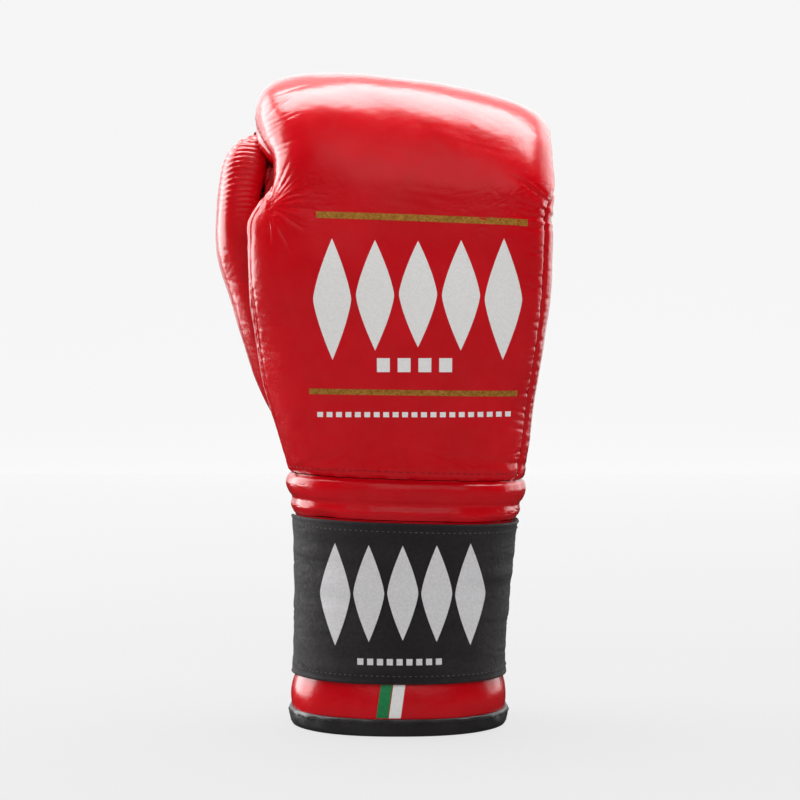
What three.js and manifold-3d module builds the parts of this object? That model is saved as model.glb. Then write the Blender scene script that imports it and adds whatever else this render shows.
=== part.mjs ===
// A hook-and-loop boxing glove, standing on the hem of its cuff, as separate named pieces.
// Millimetres. +Z is up, the back of the hand faces -Y, the thumb is at -X, the palm faces +Y.
// Every padded piece is a patch between two nested surfaces of the glove: its skin and its hand cavity.
import * as THREE from "three";
import { mergeVertices } from "three/addons/utils/BufferGeometryUtils.js";
import Module from "manifold-3d";

const wasm = await Module();
wasm.setup();

// ---- Driving dimensions ----
const HEM_Z = 0;
const STRAP_LOW_Z = 25;
const STRAP_HIGH_Z = 101.5;
const WRIST_LOW_Z = 102.4; // the cuff's padding ends here, and the soft wrist band begins
const WRIST_SEAM_Z = 122; // the mitt begins here
const CURL_Y = 6; // the fist curls over a line along X at this place
const CURL_Z = 258;
const FIST_END_Z = 205; // lowest point of the curled fingertip roll
const FIST_END_ROUND = 22;
const LEAN = 0.03; // the whole glove drops towards +X by this slope, from nothing at the hem
const LEAN_FULL_Z = 100;

const LEATHER = 1.6;
const GAP = 0.3; // air between two pieces that touch
const LINING = 0.9;
const CUFF_FOAM_DEPTH = 9; // skin to the inside of the cuff's foam
const BINDING = 1.3;
const BINDING_HIGH_Z = 8.5;
const STRAP_THICKNESS = 2.4;
const TAPE_THICKNESS = 0.9;
const THUMB_SHAFT_TOP_Z = 266;
const THUMB_TIP_Z = 285.5;
const THUMB_LOW_Z = 127;

// ---- Colours ----
const RED = 0xb4061b;
const BLACK = 0x2b2829;
const FOAM = 0xd8cfae;
const LINING_GREY = 0x3a3a3d;
const TAPE = 0x19191b;
const WHITE = 0xe9e6e2;

// ---- Section tables: each row is the skin's or cavity's cross-section at one place ----
// Cuff rows: z, left x, right x, half depth along Y, power of the superellipse.
const CUFF_ROWS = [
  [0, -51.5, 51.5, 39.5, 2.3],
  [18, -52, 52, 39.5, 2.3],
  [28, -50, 50.2, 38.5, 2.3],
  [45, -49.3, 50.3, 38.5, 2.3],
  [80, -48.9, 53.5, 39.5, 2.3],
  [99, -50, 56, 40.5, 2.4],
  [109, -53, 59.8, 41.5, 2.5],
  [WRIST_SEAM_Z, -53.7, 61.6, 42, 2.5],
];
// Mitt rows: place, left x, right x, palm side, back side, power, slope across the top. A place from 0
// to 1 climbs from the wrist seam to the curl, 1 to 2 is half a turn of curl, 2 to 3 comes down the
// palm side, and 3 to 4 rounds off the end. Palm and back are distances from the curl line.
const SKIN_ROWS = [
  [0, -53.7, 61.6, -36, 48, 2.5, 0],
  [0.12, -58.7, 63.6, -35, 50, 2.6, 0],
  [0.27, -64.3, 66, -32, 53, 2.7, 0],
  [0.48, -68.7, 69.9, -19, 58, 2.9, 0],
  [0.63, -71, 72.9, -6, 61, 3, 0],
  [0.8, -71.6, 74.6, 3, 62, 3.2, 0],
  [0.9, -69.5, 75.8, 5, 62, 3.2, 0],
  [1, -63, 76.5, 6, 62, 3.2, 0],
  [1.125, -62, 76, 6, 61, 3.2, -0.04],
  [1.25, -66, 75.4, 6, 60.5, 3.2, -0.07],
  [1.5, -69, 75.6, 6, 57.5, 3.2, -0.12],
  [1.75, -66.5, 75, 6.5, 57.8, 3.1, -0.08],
  [2, -62, 73, 8, 57, 3, -0.03],
  [3, -58, 70, 10, 56, 2.8, 0],
];
const CAVITY_ROWS = [
  [0, -42, 50, -27, 33, 2.3, 0],
  [0.27, -44, 52, -24, 32, 2.4, 0],
  [0.48, -45, 54, -12, 33, 2.5, 0],
  [0.63, -45, 57, 0.5, 34, 2.5, 0],
  [0.8, -45, 59, 9, 35, 2.5, 0],
  [1, -45, 60, 12, 35, 2.5, 0],
  [1.34, -48, 60, 12.5, 35, 2.5, 0],
  [1.67, -48, 60, 12.5, 35, 2.5, 0],
  [2, -46, 58, 14, 35, 2.5, 0],
  [3, -44, 56, 16, 36, 2.5, 0],
];
const CAVITY_END_Z = 228;
const CAVITY_END_ROUND = 9;
// Thumb rows: z, left x, right x, middle y, half depth along Y.
const THUMB_ROWS = [
  [THUMB_LOW_Z, -50, -22, 15, 24],
  [145, -60, -28, 14, 25],
  [165, -70, -33, 13, 25],
  [185, -77.5, -40, 12, 25],
  [205, -84, -48, 11, 25],
  [222, -88.3, -53, 10, 25],
  [245, -89.6, -58, 9, 24.5],
  [THUMB_SHAFT_TOP_Z, -88, -61, 7, 22],
];
const THUMB_TIP_X = -71;
const THUMB_CAVITY_ROWS = [
  [THUMB_LOW_Z + 4, -42, -22, 13, 12],
  [165, -58, -40, 13, 12],
  [185, -67, -49, 14, 12],
  [205, -76.3, -58, 13.5, 12],
  [245, -79.5, -62.6, 13, 12],
  [256, -79, -63.2, 12, 11.5],
];
const THUMB_CAVITY_TIP_Z = 266;

// ---- Angles round a section, in turns: 0 is +X, 0.25 the back, 0.5 the thumb side, 0.75 the palm ----
const TURN = (degrees) => degrees / 360;
const LITTLE_SEAM = TURN(22);
const THUMB_SEAM = TURN(165);
const PALM_THUMB_SEAM = TURN(222);
const PALM_LITTLE_SEAM = TURN(318);
const CUFF_LITTLE_SEAM = TURN(-20);
const CUFF_THUMB_SEAM = TURN(200);
const SLIT_THUMB_SIDE = TURN(264);
const SLIT_LITTLE_SIDE = TURN(276);
const STRAP_SEWN_END = TURN(170);
const STRAP_FOLD = TURN(-36);
const STRAP_FREE_END = TURN(-145);
const SEAM_TURN = 0.0014; // half the gap at a seam, in turns
const SEAM_PLACE = 0.002; // half the gap at a cut across the mitt, in places
const FOLD_TURN = 0.004; // half the gap at the strap's fold, in turns

const glove = new THREE.Group();
glove.name = "boxing_glove";

// ---- Small helpers ----

// Values from low to high in a number of equal steps.
function steps(low, high, count) {
  return Array.from({ length: count + 1 }, (_, i) => THREE.MathUtils.lerp(low, high, i / count));
}

// The stations of a list that lie between two limits, with the limits themselves at the ends.
function between(low, high, stations) {
  const close = 1e-4;
  const inner = stations.filter((value) => value > low + close && value < high - close);
  return [low, ...inner, high];
}

// The row of a table at a key between its rows, by straight-line interpolation.
function rowAt(rows, key) {
  const last = rows.length - 1;
  const at = THREE.MathUtils.clamp(key, rows[0][0], rows[last][0]);
  let i = 0;
  while (i < last - 1 && rows[i + 1][0] < at) i += 1;
  const share = (at - rows[i][0]) / (rows[i + 1][0] - rows[i][0]);
  return rows[i].map((value, column) => THREE.MathUtils.lerp(value, rows[i + 1][column], share));
}

// A cosine or sine raised to a superellipse's power, with its sign kept.
const rounded = (value, power) => Math.sign(value) * Math.abs(value) ** (2 / power);

// The glove's drop towards +X, which grows from the hem upwards.
function leaned(point) {
  point.z -= LEAN * point.x * Math.min(point.z / LEAN_FULL_Z, 1);
  return point;
}

// ---- Surfaces: each is a function of (turn, place) that returns a point ----

// The cuff's skin, moved inwards by depth. place is z.
const cuffSurface = (depth) => (turn, z) => {
  const [, left, right, half, power] = rowAt(CUFF_ROWS, z);
  const angle = turn * 2 * Math.PI;
  const x = (left + right) / 2 + ((right - left) / 2 - depth) * rounded(Math.cos(angle), power);
  const y = -(half - depth) * rounded(Math.sin(angle), power);
  return leaned(new THREE.Vector3(x, y, z));
};

// A mitt surface, from a table of rows, moved inwards by depth.
const mittSurface = (rows, endZ, endRound, depth) => (turn, place) => {
  const [, left, right, palm, back, power, slope] = rowAt(rows, place);
  const round = endRound - depth;
  const end = Math.max(place - 3, 0) * (Math.PI / 2);
  const inset = depth + round * (1 - Math.cos(end));
  const angle = turn * 2 * Math.PI;
  const backward = rounded(Math.sin(angle), power); // 1 on the back side, -1 on the palm side
  const across = ((right - left) / 2 - inset) * rounded(Math.cos(angle), power);
  const out = (palm + back) / 2 + ((back - palm) / 2 - inset) * backward;
  const distance = out + (slope * across * (1 + backward)) / 2;
  const x = (left + right) / 2 + across;
  if (place <= 1) {
    const z = THREE.MathUtils.lerp(WRIST_SEAM_Z, CURL_Z, place);
    return leaned(new THREE.Vector3(x, CURL_Y - distance, z));
  }
  if (place <= 2) {
    const bend = (place - 1) * Math.PI;
    const y = CURL_Y - distance * Math.cos(bend);
    return leaned(new THREE.Vector3(x, y, CURL_Z + distance * Math.sin(bend)));
  }
  const roundStart = endZ + endRound;
  const z = THREE.MathUtils.lerp(CURL_Z, roundStart, Math.min(place, 3) - 2) - round * Math.sin(end);
  return leaned(new THREE.Vector3(x, CURL_Y + distance, z));
};
const skin = (depth) => mittSurface(SKIN_ROWS, FIST_END_Z, FIST_END_ROUND, depth);
const cavity = (outwards) =>
  mittSurface(CAVITY_ROWS, CAVITY_END_Z, CAVITY_END_ROUND, -outwards);

// A thumb surface: place 0 to 1 is the shaft, and 1 to 2 the rounded tip.
const thumbSurface = (rows, tipZ, tipX, depth) => (turn, place) => {
  const shaftLow = rows[0][0];
  const shaftHigh = rows[rows.length - 1][0];
  const z = THREE.MathUtils.lerp(shaftLow, shaftHigh, Math.min(place, 1));
  const [, left, right, middle, half] = rowAt(rows, z);
  const tip = Math.max(place - 1, 0) * (Math.PI / 2);
  const centre = THREE.MathUtils.lerp((left + right) / 2, tipX, Math.sin(tip));
  const angle = turn * 2 * Math.PI;
  const x = centre + ((right - left) / 2 - depth) * Math.cos(tip) * rounded(Math.cos(angle), 2.4);
  const y = middle - (half - depth) * Math.cos(tip) * rounded(Math.sin(angle), 2.4);
  return leaned(new THREE.Vector3(x, y, z + (tipZ - depth - shaftHigh) * Math.sin(tip)));
};
const thumbSkin = (depth) => thumbSurface(THUMB_ROWS, THUMB_TIP_Z, THUMB_TIP_X, depth);
const thumbCavity = (outwards) =>
  thumbSurface(THUMB_CAVITY_ROWS, THUMB_CAVITY_TIP_Z, THUMB_TIP_X, -outwards);

// ---- Closed solids between two surfaces ----

// A closed BufferGeometry from points and triangles.
function closedGeometry(points, triangles) {
  const geometry = new THREE.BufferGeometry();
  geometry.setFromPoints(points);
  geometry.setIndex(triangles);
  return geometry;
}

// A patch of wall between an outer and an inner surface, over a range of turns and of places.
function patch(outer, inner, turns, places) {
  const points = [];
  for (const surface of [outer, inner])
    for (const place of places) for (const turn of turns) points.push(surface(turn, place));
  const columns = turns.length;
  const rows = places.length;
  const at = (layer, row, column) => (layer * rows + row) * columns + column;
  const triangles = [];
  const quad = (a, b, c, d) => triangles.push(a, b, c, a, c, d);
  for (let row = 0; row < rows - 1; row += 1)
    for (let column = 0; column < columns - 1; column += 1) {
      const next = column + 1;
      quad(at(0, row, column), at(0, row + 1, column), at(0, row + 1, next), at(0, row, next));
      quad(at(1, row, column), at(1, row, next), at(1, row + 1, next), at(1, row + 1, column));
    }
  for (let row = 0; row < rows - 1; row += 1) {
    quad(at(0, row, 0), at(1, row, 0), at(1, row + 1, 0), at(0, row + 1, 0));
    const last = columns - 1;
    quad(at(0, row, last), at(0, row + 1, last), at(1, row + 1, last), at(1, row, last));
  }
  for (let column = 0; column < columns - 1; column += 1) {
    quad(at(0, 0, column + 1), at(1, 0, column + 1), at(1, 0, column), at(0, 0, column));
    const last = rows - 1;
    quad(at(0, last, column + 1), at(0, last, column), at(1, last, column), at(1, last, column + 1));
  }
  return closedGeometry(points, triangles);
}

// A full turn of wall. With closedEnd the last row of both surfaces is closed over, as in a bag.
function ring(outer, inner, turns, places, closedEnd = false) {
  const segments = turns.length;
  const points = [];
  for (const surface of [outer, inner])
    for (const place of places) for (const turn of turns) points.push(surface(turn, place));
  const rows = places.length;
  const at = (layer, row, column) => (layer * rows + row) * segments + (column % segments);
  const triangles = [];
  const quad = (a, b, c, d) => triangles.push(a, b, c, a, c, d);
  for (let column = 0; column < segments; column += 1) {
    const next = column + 1;
    for (let row = 0; row < rows - 1; row += 1) {
      quad(at(0, row, column), at(0, row + 1, column), at(0, row + 1, next), at(0, row, next));
      quad(at(1, row, column), at(1, row, next), at(1, row + 1, next), at(1, row + 1, column));
    }
    quad(at(0, 0, next), at(1, 0, next), at(1, 0, column), at(0, 0, column));
    const last = rows - 1;
    if (!closedEnd)
      quad(at(0, last, next), at(0, last, column), at(1, last, column), at(1, last, next));
  }
  if (closedEnd) {
    for (const layer of [0, 1]) {
      const centre = new THREE.Vector3();
      for (let column = 0; column < segments; column += 1)
        centre.addScaledVector(points[at(layer, rows - 1, column)], 1 / segments);
      points.push(centre);
      const hub = points.length - 1;
      for (let column = 0; column < segments; column += 1) {
        const edge = [at(layer, rows - 1, column), at(layer, rows - 1, column + 1)];
        if (layer === 0) triangles.push(edge[0], hub, edge[1]);
        else triangles.push(edge[1], hub, edge[0]);
      }
    }
  }
  return closedGeometry(points, triangles);
}

// The solid inside a surface that is closed at its last place.
function filled(surface, turns, places) {
  const segments = turns.length;
  const points = [];
  for (const place of places) for (const turn of turns) points.push(surface(turn, place));
  const triangles = [];
  const at = (row, column) => row * segments + (column % segments);
  for (let row = 0; row < places.length - 1; row += 1)
    for (let column = 0; column < segments; column += 1) {
      const next = column + 1;
      triangles.push(at(row, column), at(row + 1, column), at(row + 1, next));
      triangles.push(at(row, column), at(row + 1, next), at(row, next));
    }
  for (const row of [0, places.length - 1]) {
    const centre = new THREE.Vector3();
    for (let column = 0; column < segments; column += 1)
      centre.addScaledVector(points[at(row, column)], 1 / segments);
    points.push(centre);
    const hub = points.length - 1;
    for (let column = 0; column < segments; column += 1) {
      if (row === 0) triangles.push(at(row, column + 1), hub, at(row, column));
      else triangles.push(at(row, column), hub, at(row, column + 1));
    }
  }
  return closedGeometry(points, triangles);
}

// A closed strip with a flat outline of cross-section points, swept through a range of turns.
function sweptTrim(section, turns) {
  const points = [];
  for (const turn of turns)
    for (const [depth, z] of section) points.push(cuffSurface(depth)(turn, z));
  const count = section.length;
  const triangles = [];
  const at = (row, column) => row * count + (column % count);
  for (let row = 0; row < turns.length - 1; row += 1)
    for (let column = 0; column < count; column += 1) {
      const next = column + 1;
      triangles.push(at(row, column), at(row + 1, next), at(row, next));
      triangles.push(at(row, column), at(row + 1, column), at(row + 1, next));
    }
  const outline = section.map(([depth, z]) => new THREE.Vector2(depth, z));
  const faces = THREE.ShapeUtils.triangulateShape(outline, []);
  const last = turns.length - 1;
  for (const [a, b, c] of faces) {
    triangles.push(at(0, a), at(0, b), at(0, c));
    triangles.push(at(last, c), at(last, b), at(last, a));
  }
  return closedGeometry(points, triangles);
}

// ---- Booleans ----

// A closed geometry as a manifold solid.
function solid(geometry) {
  const bare = geometry.clone();
  bare.deleteAttribute("normal");
  bare.deleteAttribute("uv");
  const merged = mergeVertices(bare, 1e-4);
  const made = new wasm.Manifold(
    new wasm.Mesh({
      numProp: 3,
      vertProperties: new Float32Array(merged.attributes.position.array),
      triVerts: new Uint32Array(merged.index.array),
    }),
  );
  return made;
}

// A manifold solid as a geometry.
function geometryOf(made) {
  const mesh = made.getMesh();
  const geometry = new THREE.BufferGeometry();
  geometry.setAttribute("position", new THREE.BufferAttribute(mesh.vertProperties, 3));
  geometry.setIndex(new THREE.BufferAttribute(mesh.triVerts, 1));
  return geometry;
}

// The largest piece of a cut solid: a cut can leave slivers beside it.
function mainPiece(made) {
  const pieces = made.decompose();
  return pieces.reduce((best, piece) => (piece.volume() > best.volume() ? piece : best));
}

const cut = (geometry, ...tools) =>
  geometryOf(mainPiece(tools.reduce((left, tool) => left.subtract(tool), solid(geometry))));

// ---- Adding a piece to the glove ----
function add(name, geometry, colour, roughness) {
  const material = new THREE.MeshStandardMaterial({ color: colour, roughness, metalness: 0 });
  const mesh = new THREE.Mesh(geometry, material);
  mesh.name = name;
  glove.add(mesh);
  return mesh;
}
const leather = (name, geometry) => add(name, geometry, RED, 0.3);
const foam = (name, geometry) => add(name, geometry, FOAM, 0.95);
const lining = (name, geometry) => add(name, geometry, LINING_GREY, 0.9);

const FOAM_TOP = LEATHER + GAP;
const FOAM_BOTTOM = LINING + GAP;

// ---- Stations: every layer of a part is sampled at the same turns and places, so that it nests ----
const MITT_SECTORS = [
  [PALM_LITTLE_SEAM - 1, LITTLE_SEAM, 4],
  [LITTLE_SEAM, THUMB_SEAM, 11],
  [THUMB_SEAM, PALM_THUMB_SEAM, 4],
  [PALM_THUMB_SEAM, PALM_LITTLE_SEAM, 6],
];
const MITT_TURNS = MITT_SECTORS.flatMap(([low, high, count]) => steps(low, high, count).slice(0, count));
const MITT_CLIMB = SKIN_ROWS.map(([place]) => place).filter((place) => place <= 1);
const MITT_CURL = steps(1, 2, 8);
const MITT_ROUNDING = steps(3, 4, 3);
const MITT_PLACES = [...MITT_CLIMB, ...MITT_CURL.slice(1), 2.5, ...MITT_ROUNDING];
const CUFF_TURNS = steps(0, 1, 32).slice(0, 32);
const CUFF_LAPS = [-1, 0, 1].flatMap((lap) => CUFF_TURNS.map((turn) => turn + lap));
const CUFF_HEIGHTS = CUFF_ROWS.map(([z]) => z);
const THUMB_TURNS = steps(0, 1, 16).slice(0, 16);
const THUMB_PLACES = [...steps(0, 1, 6), ...steps(1, 2, 3).slice(1)];

const mittTurns = (low, high, gap) => between(low + gap, high - gap, MITT_TURNS);
const mittPlaces = (low, high) => between(low + SEAM_PLACE, high - SEAM_PLACE, MITT_PLACES);
const cuffTurns = (low, high) => between(low + SEAM_TURN, high - SEAM_TURN, CUFF_LAPS);
const cuffHeights = (low, high) => between(low, high, CUFF_HEIGHTS);

// ---- The mitt's leather ----
const CREASE_PLACE = 1.012; // the palm's leather and the fingers' meet just past the start of the curl
const wholeBack = mittPlaces(0, 3);
const climb = mittPlaces(0, 1);
const curlDown = between(CREASE_PLACE, 3 - SEAM_PLACE, MITT_PLACES);
const mittLeather = (low, high, places) =>
  patch(skin(0), skin(LEATHER), mittTurns(low, high, SEAM_TURN), places);
const mittFoam = (low, high, places) =>
  patch(skin(FOAM_TOP), cavity(FOAM_BOTTOM), mittTurns(low, high, 2 * SEAM_TURN), places);

const thumbPassage = solid(filled(thumbCavity(LINING + 2 * GAP), THUMB_TURNS, THUMB_PLACES));
const thumbSpace = solid(filled(thumbCavity(0), THUMB_TURNS, THUMB_PLACES));
const littleSide = [PALM_LITTLE_SEAM - 1, LITTLE_SEAM];
const backSide = [LITTLE_SEAM, THUMB_SEAM];
const thumbSide = [THUMB_SEAM, PALM_THUMB_SEAM];
const palmSide = [PALM_THUMB_SEAM, PALM_LITTLE_SEAM];
leather("back_panel", mittLeather(...backSide, wholeBack));
leather("little_side_panel", mittLeather(...littleSide, climb));
leather("little_fist_panel", mittLeather(...littleSide, curlDown));
leather("thumb_side_panel", cut(mittLeather(...thumbSide, climb), thumbPassage));
leather("thumb_fist_panel", mittLeather(...thumbSide, curlDown));
leather("palm_panel", cut(mittLeather(...palmSide, climb), thumbPassage));
leather("finger_inner_panel", mittLeather(...palmSide, curlDown));
leather("fingertip_panel", ring(skin(0), skin(LEATHER), MITT_TURNS, MITT_ROUNDING, true));

// ---- The mitt's foam, between the leather and the lining ----
const BACK_FOAMS = {
  hand_back_foam: [0, 0.8],
  knuckle_foam: [0.8, 1.25],
  knuckle_crown_foam: [1.25, 1.5],
  finger_crown_foam: [1.5, 1.75],
  finger_back_foam: [1.75, 2],
  finger_end_foam: [2, 3],
};
for (const [name, limits] of Object.entries(BACK_FOAMS)) {
  foam(name, mittFoam(...backSide, mittPlaces(...limits)));
}
foam("little_side_foam", mittFoam(...littleSide, climb));
foam("little_fist_foam", mittFoam(...littleSide, curlDown));
foam("thumb_side_foam", cut(mittFoam(...thumbSide, climb), thumbPassage));
foam("thumb_fist_foam", mittFoam(...thumbSide, curlDown));
foam("palm_foam", cut(mittFoam(...palmSide, climb), thumbPassage));
foam("finger_inner_foam", mittFoam(...palmSide, curlDown));
foam("fingertip_foam", ring(skin(FOAM_TOP), cavity(FOAM_BOTTOM), MITT_TURNS, MITT_ROUNDING, true));

// ---- The lining bag of the mitt, with a hole into the thumb, and the grip bar in it ----
const bagPlaces = between(SEAM_PLACE, 4, MITT_PLACES);
lining("hand_lining", cut(ring(cavity(LINING), cavity(0), MITT_TURNS, bagPlaces, true), thumbSpace));

const GRIP_RADIUS = 6;
const GRIP_LENGTH = 60;
const GRIP_MIDDLE = [7, -9, 212];
const gripBar = new THREE.CylinderGeometry(GRIP_RADIUS, GRIP_RADIUS, GRIP_LENGTH, 14);
gripBar.rotateZ(Math.PI / 2);
gripBar.translate(...GRIP_MIDDLE);
add("grip_bar", gripBar, LINING_GREY, 0.9);

// ---- The thumb: two leather panels, foam and lining, cut where the thumb meets the mitt ----
const LARGE = 400;
const THUMB_SEAM_MIDDLE = [-71, 8, 0]; // the thumb's two panels meet on an upright plane through here
const THUMB_SEAM_DEGREES = 21;
const THUMB_CLEAR_Z = WRIST_SEAM_Z + 3.2;
const mittEnvelope = solid(filled(skin(-GAP), MITT_TURNS, MITT_PLACES));
const belowSeam = solid(new THREE.BoxGeometry(LARGE, LARGE, LARGE)).translate([
  0,
  0,
  THUMB_CLEAR_Z - LARGE / 2,
]);
const outerOfSeam = (grown) =>
  solid(new THREE.BoxGeometry(LARGE + 2 * grown, 2 * LARGE, 2 * LARGE))
    .translate([-LARGE / 2, 0, 0])
    .rotate([0, 0, THUMB_SEAM_DEGREES])
    .translate(THUMB_SEAM_MIDDLE);
const onThumb = (made) => geometryOf(mainPiece(made.subtract(mittEnvelope).subtract(belowSeam)));
const thumbLayer = (outer, inner) => solid(ring(outer, inner, THUMB_TURNS, THUMB_PLACES, true));
const thumbLeather = thumbLayer(thumbSkin(0), thumbSkin(LEATHER));
const thumbPad = thumbLayer(thumbSkin(FOAM_TOP), thumbCavity(FOAM_BOTTOM));
leather("thumb_outer_panel", onThumb(thumbLeather.intersect(outerOfSeam(0))));
leather("thumb_inner_panel", onThumb(thumbLeather.subtract(outerOfSeam(GAP))));
foam("thumb_outer_foam", onThumb(thumbPad.intersect(outerOfSeam(0))));
foam("thumb_inner_foam", onThumb(thumbPad.subtract(outerOfSeam(GAP))));
lining("thumb_lining", onThumb(thumbLayer(thumbCavity(LINING), thumbCavity(0))));

// ---- The soft wrist band between the cuff and the mitt ----
const CUFF_LINING_DEPTH = CUFF_FOAM_DEPTH + GAP;
const bandHeights = cuffHeights(WRIST_LOW_Z + GAP, WRIST_SEAM_Z);
leather("wrist_band", ring(cuffSurface(0), cuffSurface(LEATHER), CUFF_TURNS, bandHeights));
const cuffLiningLayers = [cuffSurface(CUFF_LINING_DEPTH), cuffSurface(CUFF_LINING_DEPTH + LINING)];
lining("wrist_lining", ring(...cuffLiningLayers, CUFF_TURNS, bandHeights));

// ---- The cuff: leather, foam and lining, open along a slit on the palm side ----
const layersHeights = cuffHeights(HEM_Z + BINDING + GAP, WRIST_LOW_Z);
const CUFF_PARTS = {
  back: [CUFF_LITTLE_SEAM, CUFF_THUMB_SEAM],
  thumb_flap: [CUFF_THUMB_SEAM, SLIT_THUMB_SIDE],
  little_flap: [SLIT_LITTLE_SIDE, CUFF_LITTLE_SEAM + 1],
};
for (const [part, limits] of Object.entries(CUFF_PARTS)) {
  const turns = cuffTurns(...limits);
  leather(`cuff_${part}_leather`, patch(cuffSurface(0), cuffSurface(LEATHER), turns, layersHeights));
  const foamLayers = [cuffSurface(FOAM_TOP), cuffSurface(CUFF_FOAM_DEPTH)];
  foam(`cuff_${part}_foam`, patch(...foamLayers, turns, layersHeights));
}
const roundFromSlit = cuffTurns(SLIT_LITTLE_SIDE, SLIT_THUMB_SIDE + 1);
lining("cuff_lining", patch(...cuffLiningLayers, roundFromSlit, layersHeights));

const INSIDE = CUFF_LINING_DEPTH + LINING + GAP;
const GUSSET_LAP = TURN(11);
add(
  "slit_gusset",
  patch(
    cuffSurface(INSIDE),
    cuffSurface(INSIDE + LINING),
    cuffTurns(SLIT_THUMB_SIDE - GUSSET_LAP, SLIT_LITTLE_SIDE + GUSSET_LAP),
    cuffHeights(BINDING_HIGH_Z + 2, WRIST_LOW_Z - 2),
  ),
  BLACK,
  0.9,
);
const LABEL_THICKNESS = 0.4;
add(
  "care_label",
  patch(
    cuffSurface(INSIDE),
    cuffSurface(INSIDE + LABEL_THICKNESS),
    cuffTurns(TURN(78), TURN(102)),
    cuffHeights(46, 79),
  ),
  WHITE,
  0.8,
);

// ---- The hem binding: a U-shaped strip folded over the lower edge of all the cuff's layers ----
const bindingSection = [
  [-GAP - BINDING, BINDING_HIGH_Z],
  [-GAP - BINDING, HEM_Z],
  [INSIDE + BINDING, HEM_Z],
  [INSIDE + BINDING, BINDING_HIGH_Z],
  [INSIDE, BINDING_HIGH_Z],
  [INSIDE, BINDING],
  [-GAP, BINDING],
  [-GAP, BINDING_HIGH_Z],
];
add("hem_binding", sweptTrim(bindingSection, roundFromSlit), BLACK, 0.6);

// ---- The strap: the sewn stretch, and the free tail with its hook tape, over the loop tape ----
// A flat band on the cuff, from one height off the skin to a higher one.
const band = (lift, thickness, turns, heights) =>
  patch(cuffSurface(-lift - thickness), cuffSurface(-lift), turns, heights);
const strapHeights = cuffHeights(STRAP_LOW_Z, STRAP_HIGH_Z);
const SEWN_LIFT = 0.4;
const sewnTurns = between(STRAP_FOLD + FOLD_TURN, STRAP_SEWN_END, CUFF_LAPS);
add("wrist_strap", band(SEWN_LIFT, STRAP_THICKNESS, sewnTurns, strapHeights), BLACK, 0.85);

const LOOP_LIFT = GAP;
const HOOK_LIFT = LOOP_LIFT + TAPE_THICKNESS + GAP;
const TAIL_LIFT = HOOK_LIFT + TAPE_THICKNESS + GAP;
const loopTurns = between(TURN(219), TURN(262), CUFF_LAPS);
add("loop_tape", band(LOOP_LIFT, TAPE_THICKNESS, loopTurns, cuffHeights(34, 93)), TAPE, 0.95);
const hookTurns = between(TURN(221), TURN(258), CUFF_LAPS);
add("hook_tape", band(HOOK_LIFT, TAPE_THICKNESS, hookTurns, cuffHeights(36, 91)), TAPE, 0.95);
const tailTurns = between(STRAP_FREE_END + 1, STRAP_FOLD - FOLD_TURN + 1, CUFF_LAPS);
add("strap_tail", band(TAIL_LIFT, STRAP_THICKNESS, tailTurns, strapHeights), BLACK, 0.85);
const TAB_TURNS = TURN(7);
const TAB_THINNER = 0.2;
const tabTurns = between(STRAP_FREE_END + 1 - TAB_TURNS, STRAP_FREE_END + 1 - 2 * SEAM_TURN, CUFF_LAPS);
const tabHeights = cuffHeights(STRAP_LOW_Z + 4, STRAP_HIGH_Z - 4);
const tab = band(TAIL_LIFT + TAB_THINNER, STRAP_THICKNESS - 2 * TAB_THINNER, tabTurns, tabHeights);
add("strap_end_tab", tab, BLACK, 0.5);

// ---- The thumb lock: a short leather strip from the thumb's tip to the side of the fist ----
const LOCK_SIZE = [16, LEATHER, 22];
const LOCK_MIDDLE = [-62, -9, 260];
const thumbEnvelope = solid(filled(thumbSkin(-GAP), THUMB_TURNS, THUMB_PLACES));
const lockStrip = solid(new THREE.BoxGeometry(...LOCK_SIZE)).translate(LOCK_MIDDLE);
const lockBetween = mainPiece(lockStrip.subtract(mittEnvelope).subtract(thumbEnvelope));
leather("thumb_lock", geometryOf(lockBetween));

// ---- Centre the glove on its bounding box, with the hem on z = 0 ----
const bounds = new THREE.Box3().setFromObject(glove);
const middle = bounds.getCenter(new THREE.Vector3());
glove.position.set(-middle.x, -middle.y, -bounds.min.z);

export default glove;
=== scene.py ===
"""A padded leather boxing glove that stands on its hem, in a pale studio.

Shapes are worked out in millimetres from the hem's middle, with the back of the hand at -Y, the
thumb at -X and +Z up, and are moved into the frame's metres when a mesh is made.
"""
import math

import bmesh
import bpy
import numpy as np
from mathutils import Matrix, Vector
from mathutils.bvhtree import BVHTree


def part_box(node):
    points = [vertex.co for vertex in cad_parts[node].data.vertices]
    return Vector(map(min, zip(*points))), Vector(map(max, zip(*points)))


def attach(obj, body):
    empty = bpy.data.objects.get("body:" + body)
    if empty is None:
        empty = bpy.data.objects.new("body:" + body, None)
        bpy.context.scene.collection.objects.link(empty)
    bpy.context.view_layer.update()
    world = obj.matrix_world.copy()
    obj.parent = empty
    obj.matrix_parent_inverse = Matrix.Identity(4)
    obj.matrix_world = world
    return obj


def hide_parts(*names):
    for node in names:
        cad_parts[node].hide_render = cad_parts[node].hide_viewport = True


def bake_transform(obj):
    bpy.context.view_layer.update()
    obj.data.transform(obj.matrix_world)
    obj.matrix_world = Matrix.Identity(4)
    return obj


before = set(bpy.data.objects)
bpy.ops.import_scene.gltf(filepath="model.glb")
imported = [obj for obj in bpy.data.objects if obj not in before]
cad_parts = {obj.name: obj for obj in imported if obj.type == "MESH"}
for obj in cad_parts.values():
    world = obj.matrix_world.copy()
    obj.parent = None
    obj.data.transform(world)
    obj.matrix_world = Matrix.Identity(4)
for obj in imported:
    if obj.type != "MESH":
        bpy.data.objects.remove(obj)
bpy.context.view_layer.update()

# ---- The hem's middle, in metres ----
hem_low, hem_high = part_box("hem_binding")
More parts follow.
